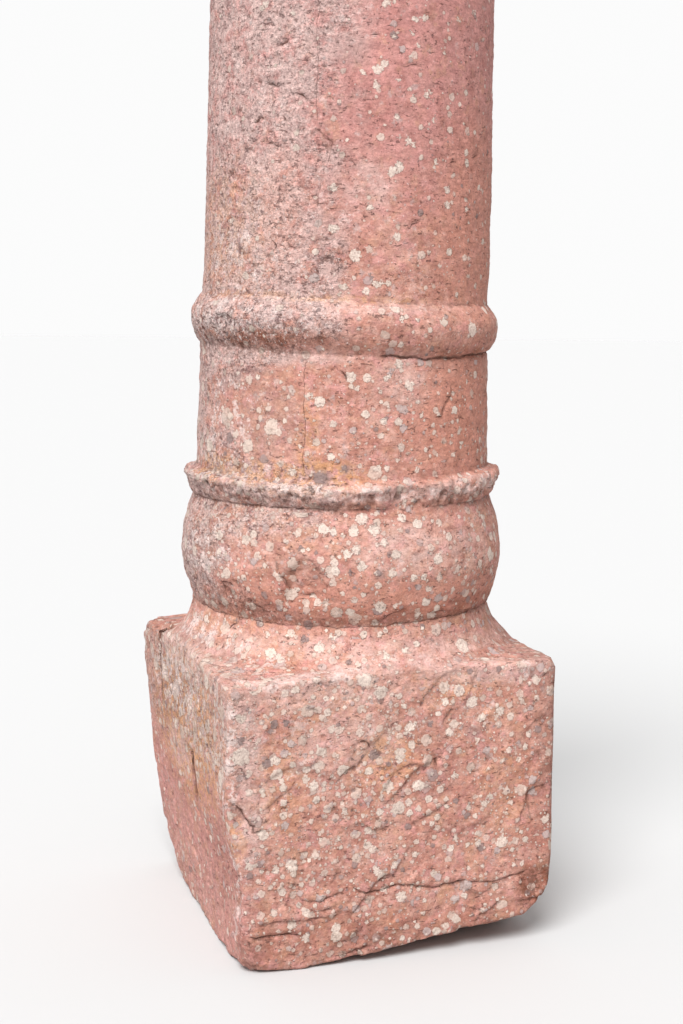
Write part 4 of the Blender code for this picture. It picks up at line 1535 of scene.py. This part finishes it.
# Layers of colour, from the first laid to the last: where they lie, their strength and their colour. Then,
# for a mottled one, its noise: order, size of the lumps in metres, detail, roughness, and the values
# between which the colour fades in.
FINE_BEDS = (0.035, 0.0035, 0.05)
GROUND = (
    ("all", 1.00, SALMON, 0, 0.045, 5, 0.60, 0.36, 0.64),
    ("all", 0.60, PALE_SALMON, 3, 0.013, 5, 0.70, 0.46, 0.66),
    ("all", 0.45, BRICK, 3, 0.013, 5, 0.70, 0.50, 0.34),
    ("upper", 0.72, ROSE),
    ("all", 0.35, DEEP_SALMON, 0, FINE_BEDS, 3, 0.60, 0.52, 0.72),
    ("all", 0.35, PALE_SALMON, 0, (0.09, 0.010, 0.13), 4, 0.60, 0.55, 0.75),
    ("low_left", 0.50, ROSE),
    ("all", 0.65, PINK, 4, 0.020, 4, 0.65, 0.52, 0.64),
    ("all", 0.42, TAN, 4, 0.020, 4, 0.65, 0.46, 0.34),
    ("dusky", 0.75, DUSKY_RED, 16, 0.030, 5, 0.70, 0.50, 0.66),
    ("lower", 0.34, OCHRE, 5, 0.040, 5, 0.65, 0.52, 0.68),
    ("worn", 0.85, MAUVE, 6, 0.026, 5, 0.70, 0.36, 0.56),
    ("worn", 0.52, PURPLE_BROWN, 17, 0.020, 5, 0.75, 0.52, 0.61),
    ("orange", 0.80, BRIGHT_ORANGE, 7, 0.012, 4, 0.65, 0.58, 0.46),
    ("all", 0.55, LILAC_GREY, 8, 0.018, 4, 0.60, 0.60, 0.72),
    ("greyed", 0.75, SLATE),
    ("ruddy", 0.90, RUDDY),
    # Paler stone, in places painted light
    ("pale", 1.40, PALE_PINK, 24, 0.020, 5, 0.70, 0.30, 0.62),
)
# Dark layers over the crusts: stains and painted shade in the stain patches, and painted shade in the fine
# and the broad hollows
DIRT_AND_SHADE = (
    ("stain_and_shade", 0.70, GRIME_AND_SHADE, 13, 0.010, 4, 0.70, 0.60, 0.42),
    ("fine_hollow_shade", 0.60, GRIME_AND_SHADE),
    ("broad_hollow_shade", 0.25, GRIME_AND_SHADE),
)
# The flakes' sizes in metres, how high they stand, and how much lighter or darker they are
FLAKES = (((0.0180, 0.0180, 0.0070), 0.0014, 0.16), ((0.0080, 0.0080, 0.0036), 0.0009, 0.14))

# Round crusts of lichen: cell size in metres, largest radius as a share of it, share of cells with one
CRUSTS = (
    (0.040, 0.34, 0.62),
    (0.026, 0.40, 0.78),
    (0.0160, 0.42, 0.66),
    (0.0100, 0.38, 0.36),
    (0.0062, 0.34, 0.26),
)
LARGE_CRUST = 0.02
CRUST_THICKNESS = 0.0010
# How far a crust's edge wanders and how soft it is, in metres at most and as a share of its cell
CRUST_RAGGED = (0.0036, 0.18)
CRUST_SOFT = (0.0014, 0.08)
# How strong the dark ring round a crust is, darker stone and painted shadow at its raised edge, at most and
# for each metre of its cell
CRUST_SHADE_RIM = (0.20, 12.0)
# The heights in metres of the grains, beds, pits and cracks
ROUGH_HEIGHT = 0.0026
WORN_ROUGH_HEIGHT = 0.0030
BED_HEIGHT = 0.0016
PIT_DEPTH = 0.0018
CRACK_HALF_WIDTH = 0.0010


def crust_layer(nodes, place, cell, reach, chance):
    """One size of crust: its cover, the dark ring round it that is partly painted shadow, a random number for
    each, and its middle.
    """
    shares = {"Vector": place, "Scale": 1 / cell, "Randomness": 0.85}
    cells = nodes.add("TexVoronoi", {"voronoi_dimensions": "3D"}, **shares)
    random = nodes.add("SeparateColor", None, Color=cells.outputs["Color"]).outputs
    lobes = nodes.noise(place, 0, cell * 0.22, 2)
    fringe = nodes.noise(place, 0, 0.0022, 3, 0.7)
    ragged, soft = (min(most, share * cell) for most, share in (CRUST_RAGGED, CRUST_SOFT))
    radius = nodes.times(random[0], reach * 0.65, reach * 0.35)
    inside = nodes.math("SUBTRACT", radius, cells.outputs["Distance"])
    inside = nodes.times(lobes, reach * 0.8, nodes.math("SUBTRACT", inside, reach * 0.40))
    depth = nodes.times(fringe, ragged, nodes.times(inside, cell, -ragged / 2))
    crowd = nodes.rise(nodes.noise(cells.outputs["Position"], 0, 0.075, 2, 0.5), 0.34, 0.64)
    present = nodes.math("LESS_THAN", random[1], nodes.times(nodes.times(crowd, 1.1, 0.45), chance))
    edge = nodes.times(nodes.rise(depth, -0.4 * soft, 0.6 * soft), present)
    rim_shade = nodes.times(nodes.rise(depth, -0.0018, -0.0004), present)
    middle = nodes.times(nodes.rise(inside, reach * 0.15, reach * 0.55), nodes.rise(random[2], 0.6, 0.3))
    faint = nodes.times(nodes.math("FRACT", nodes.times(random[2], 7.0)), 0.5, 0.5)
    return nodes.times(edge, faint), rim_shade, random[2], middle


def crust_tone(nodes, random, mottled):
    """The colour of a crust for a number from 0 to 1, from cream to slate, with darker mottling."""
    tone = nodes.mix(nodes.rise(random, 0.45, 0.60), CREAM, ASH)
    tone = nodes.mix(nodes.rise(random, 0.74, 0.82), tone, LILAC_GREY)
    tone = nodes.mix(nodes.rise(random, 0.92, 0.96), tone, SLATE)
    return nodes.paint(tone, mottled, 0.45, SLATE)


def lay_crusts(nodes, place, base, crust_here):
    """Every size of crust over the base, then the placed ones: the colour, and how thickly they lie."""
    inside, placed_tone, large_here = nodes.stored("seen_crusts")
    thick = 0.0
    lace = nodes.rise(nodes.noise(place, 0, 0.0034, 4, 0.8), 0.44, 0.64)
    for order, (cell, reach, chance) in enumerate(CRUSTS):
        odds = nodes.times(crust_here, chance)
        if cell > LARGE_CRUST:
            odds = nodes.times(odds, large_here)
        cover, rim_shade, random, middle = crust_layer(nodes, nodes.moved(place, order), cell, reach, odds)
        # A dark ring round each crust: darker stone and painted shadow at its raised edge
        base = nodes.paint(base, rim_shade, min(CRUST_SHADE_RIM[0], CRUST_SHADE_RIM[1] * cell), GRIME_AND_SHADE)
        tone = crust_tone(nodes, random, nodes.times(middle, lace))
        base = nodes.mix(nodes.times(cover, nodes.times(lace, -0.20, 0.98)), base, tone)
        thick = nodes.math("MAXIMUM", cover, thick)
    lobes = nodes.times(nodes.noise(place, 18, 0.0055, 2), 0.0110, inside)
    depth = nodes.times(nodes.noise(place, 20, 0.0024, 4, 0.8), 0.0080, lobes)
    cover = nodes.rise(depth, 0.0088, 0.0102)
    mottled = nodes.times(lace, nodes.rise(depth, 0.0095, 0.0120))
    tone = crust_tone(nodes, placed_tone, mottled)
    base = nodes.mix(nodes.times(cover, nodes.times(lace, -0.22, 0.95)), base, tone)
    return base, nodes.math("MAXIMUM", cover, thick)


def ground_colour(nodes, place, here):
    """The stone's colour with its bedding, tones and bloom, and browned and pale patches that are in part
    painted shade and painted light.
    """
    base = nodes.lay(DEEP_SALMON, place, here, GROUND)
    uneven = nodes.rise(nodes.noise(place, 24, 0.020, 5, 0.7), 0.80, 0.30)
    # Browning: a brown tone in places, painted shade in others
    browned_and_shaded = nodes.times(nodes.times(here["browned_and_shaded"], uneven), BROWNING_AND_SHADE_STRENGTH)
    base = nodes.mix(browned_and_shaded, base, BROWNING_AND_SHADE, "MULTIPLY")
    spots = nodes.times(nodes.noise(place, 9, 0.0085, 5, 0.75), 0.6)
    clustered = nodes.times(nodes.noise(place, 23, 0.024, 4, 0.65), 0.6, spots)
    bloom = nodes.rise(nodes.times(here["bloom"], 0.16, clustered), 0.70, 0.77)
    return nodes.paint(base, nodes.times(bloom, here["bloom"]), 0.95, CHALK)


def flake(nodes, place, base):
    """Thin flakes of two sizes, each a little lighter or darker; also how high they stand."""
    stand = 0.0
    for sizes, high, shade in FLAKES:
        random = nodes.flakes(place, sizes)
        base = nodes.shade(base, random, shade)
        stand = nodes.times(random, high, stand)
    return base, stand


def speckle(nodes, place, base, here):
    """Grains, white flecks, and dark pits and nicks of one to four millimetres that are partly painted shade;
    also how deep the pits are.
    """
    worn = here["worn"]
    grain = nodes.noise(place, 10, (0.0042, 0.0042, 0.0030), 3, 0.9)
    grain = nodes.times(nodes.math("SUBTRACT", grain, 0.5), nodes.times(worn, 0.6, 0.5), 0.5)
    base = nodes.shade(base, grain, 2.2)
    base = nodes.shade(base, nodes.noise(place, 19, (0.0110, 0.0110, 0.0070), 4, 0.7), 0.7)
    flecks = nodes.rise(nodes.times(worn, 0.05, nodes.noise(place, 11, 0.0050, 4, 0.75)), 0.655, 0.672)
    flecks = nodes.times(flecks, nodes.times(here["below_top"], 0.6, 0.4))
    base = nodes.paint(base, flecks, 0.85, CHALK)
    pits = nodes.noise(place, 12, 0.0070, 5, 0.75)
    pits = nodes.times(nodes.noise(place, 22, 0.045, 4, 0.6), 0.22, pits)
    pits = nodes.rise(nodes.times(worn, 0.045, pits), 0.725, 0.81)
    # Dark pits: dark specks and painted shade in them
    base = nodes.paint(base, pits, 0.65, DARK_MAUVE)
    flat = nodes.noise(place, 21, (0.0125, 0.0125, 0.0046), 4, 0.7)
    nicks = nodes.rise(nodes.times(worn, 0.03, flat), 0.62, 0.665)
    # Dark nicks: dark marks and painted shade under their edges
    base = nodes.paint(base, nicks, 0.60, SHADE_BROWN)
    return base, nodes.math("MAXIMUM", pits, nicks)


def draw_lines(nodes, place, base):
    """Painted shade in the cracks and in the creases at the roll's foot and the torus's foot: thin dark
    lines, finer towards their ends; also how deep they are.
    """
    drawn = 0.0
    for side, strength in zip(nodes.stored("line_side"), nodes.stored("line_strength")):
        width = nodes.times(strength, CRACK_HALF_WIDTH, 0.00001)
        away = nodes.math("DIVIDE", nodes.math("ABSOLUTE", side), width)
        crack = nodes.times(nodes.rise(away, 1.1, 0.2), nodes.rise(strength, 0.0, 0.9))
        drawn = nodes.math("MAXIMUM", crack, drawn)
    broken = nodes.rise(nodes.noise(place, 15, 0.008, 3, 0.6), 0.36, 0.56)
    drawn = nodes.times(drawn, nodes.times(broken, 0.75, 0.25))
    # The painted shade of the cracks
    return nodes.paint(base, drawn, 0.65, SHADE_BROWN), drawn


def shares_here(nodes, place):
    """How strongly each kind of growth, wear, tone, painted shade and painted light is found at a point, by
    name.
    """
    here = {}
    for attribute, names in STORED.items():
        here.update(zip(names, nodes.stored(attribute)))
    height = nodes.add("SeparateXYZ", None, Vector=place).outputs["Z"]
    here["upper"] = nodes.rise(height, 0.95, 1.25)
    here["dusky"] = nodes.times(here["upper"], 0.5, 0.35)
    here["lower"] = nodes.rise(height, 0.80, 0.40)
    here["below_top"] = nodes.rise(height, 1.25, 1.00)
    # Painted shade in the fine and the broad hollows
    here["fine_hollow_shade"] = nodes.rise(here["fine_hollow"], 0.15, 0.90)
    here["broad_hollow_shade"] = nodes.rise(here["broad_hollow"], 0.25, 0.95)
    here["all"] = 1.0
    return here


def raised_by(nodes, place, here, flaked, thick, cut):
    """How far flakes, grains, beds and crusts stand out and pits and cracks go in, in metres."""
    rough = nodes.noise(place, 14, 0.008, 5, 0.75)
    rough = nodes.times(rough, nodes.times(here["worn"], WORN_ROUGH_HEIGHT, ROUGH_HEIGHT))
    raised = nodes.times(nodes.noise(place, 0, FINE_BEDS, 3, 0.6), BED_HEIGHT, rough)
    raised = nodes.times(flaked, nodes.times(here["worn"], 0.7, 0.5), raised)
    raised = nodes.times(thick, CRUST_THICKNESS, raised)
    return nodes.times(cut, -PIT_DEPTH, raised)


def stone_material():
    """Weathered red sandstone with its bedding, stains and lichen, and painted shade in its cracks, pits,
    hollows and undersides.
    """
    nodes = Nodes("weathered_sandstone")
    place = nodes.add("TexCoord").outputs["Object"]
    here = shares_here(nodes, place)
    base, flaked = flake(nodes, place, ground_colour(nodes, place, here))
    base, pits = speckle(nodes, place, base, here)
    base, thick = lay_crusts(nodes, place, base, here["crust"])
    # Stains, and painted shade in hollows and creases
    base = nodes.lay(base, place, here, DIRT_AND_SHADE)
    base, cracks = draw_lines(nodes, place, base)
    nodes.feed(nodes.shader.inputs["Base Color"], base)
    nodes.shader.inputs["Roughness"].default_value = 0.92
    nodes.shader.inputs["Specular IOR Level"].default_value = 0.25
    raised = raised_by(nodes, place, here, flaked, thick, nodes.math("MAXIMUM", pits, cracks))
    bumps = nodes.add("Bump", None, Strength=0.9, Distance=1.0, Height=raised)
    nodes.feed(nodes.shader.inputs["Normal"], bumps.outputs["Normal"])
    return nodes.material


def main():
    make_camera()
    make_floor()
    make_light()
    stone = make_stone()
    paint_masks(stone.data)
    paint_lines(stone.data)
    paint_seen_crusts(stone)
    stone.data.materials.append(stone_material())
    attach(stone, "root")
    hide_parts("column")


def write_sizes():
    """Works out the solid's box and the finished stone's box as lists of corners."""
    boxes = {"cad": CAD_BOX, "visual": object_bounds()}
    plain = {name: [list(corner) for corner in box] for name, box in boxes.items()}


main()
write_sizes()
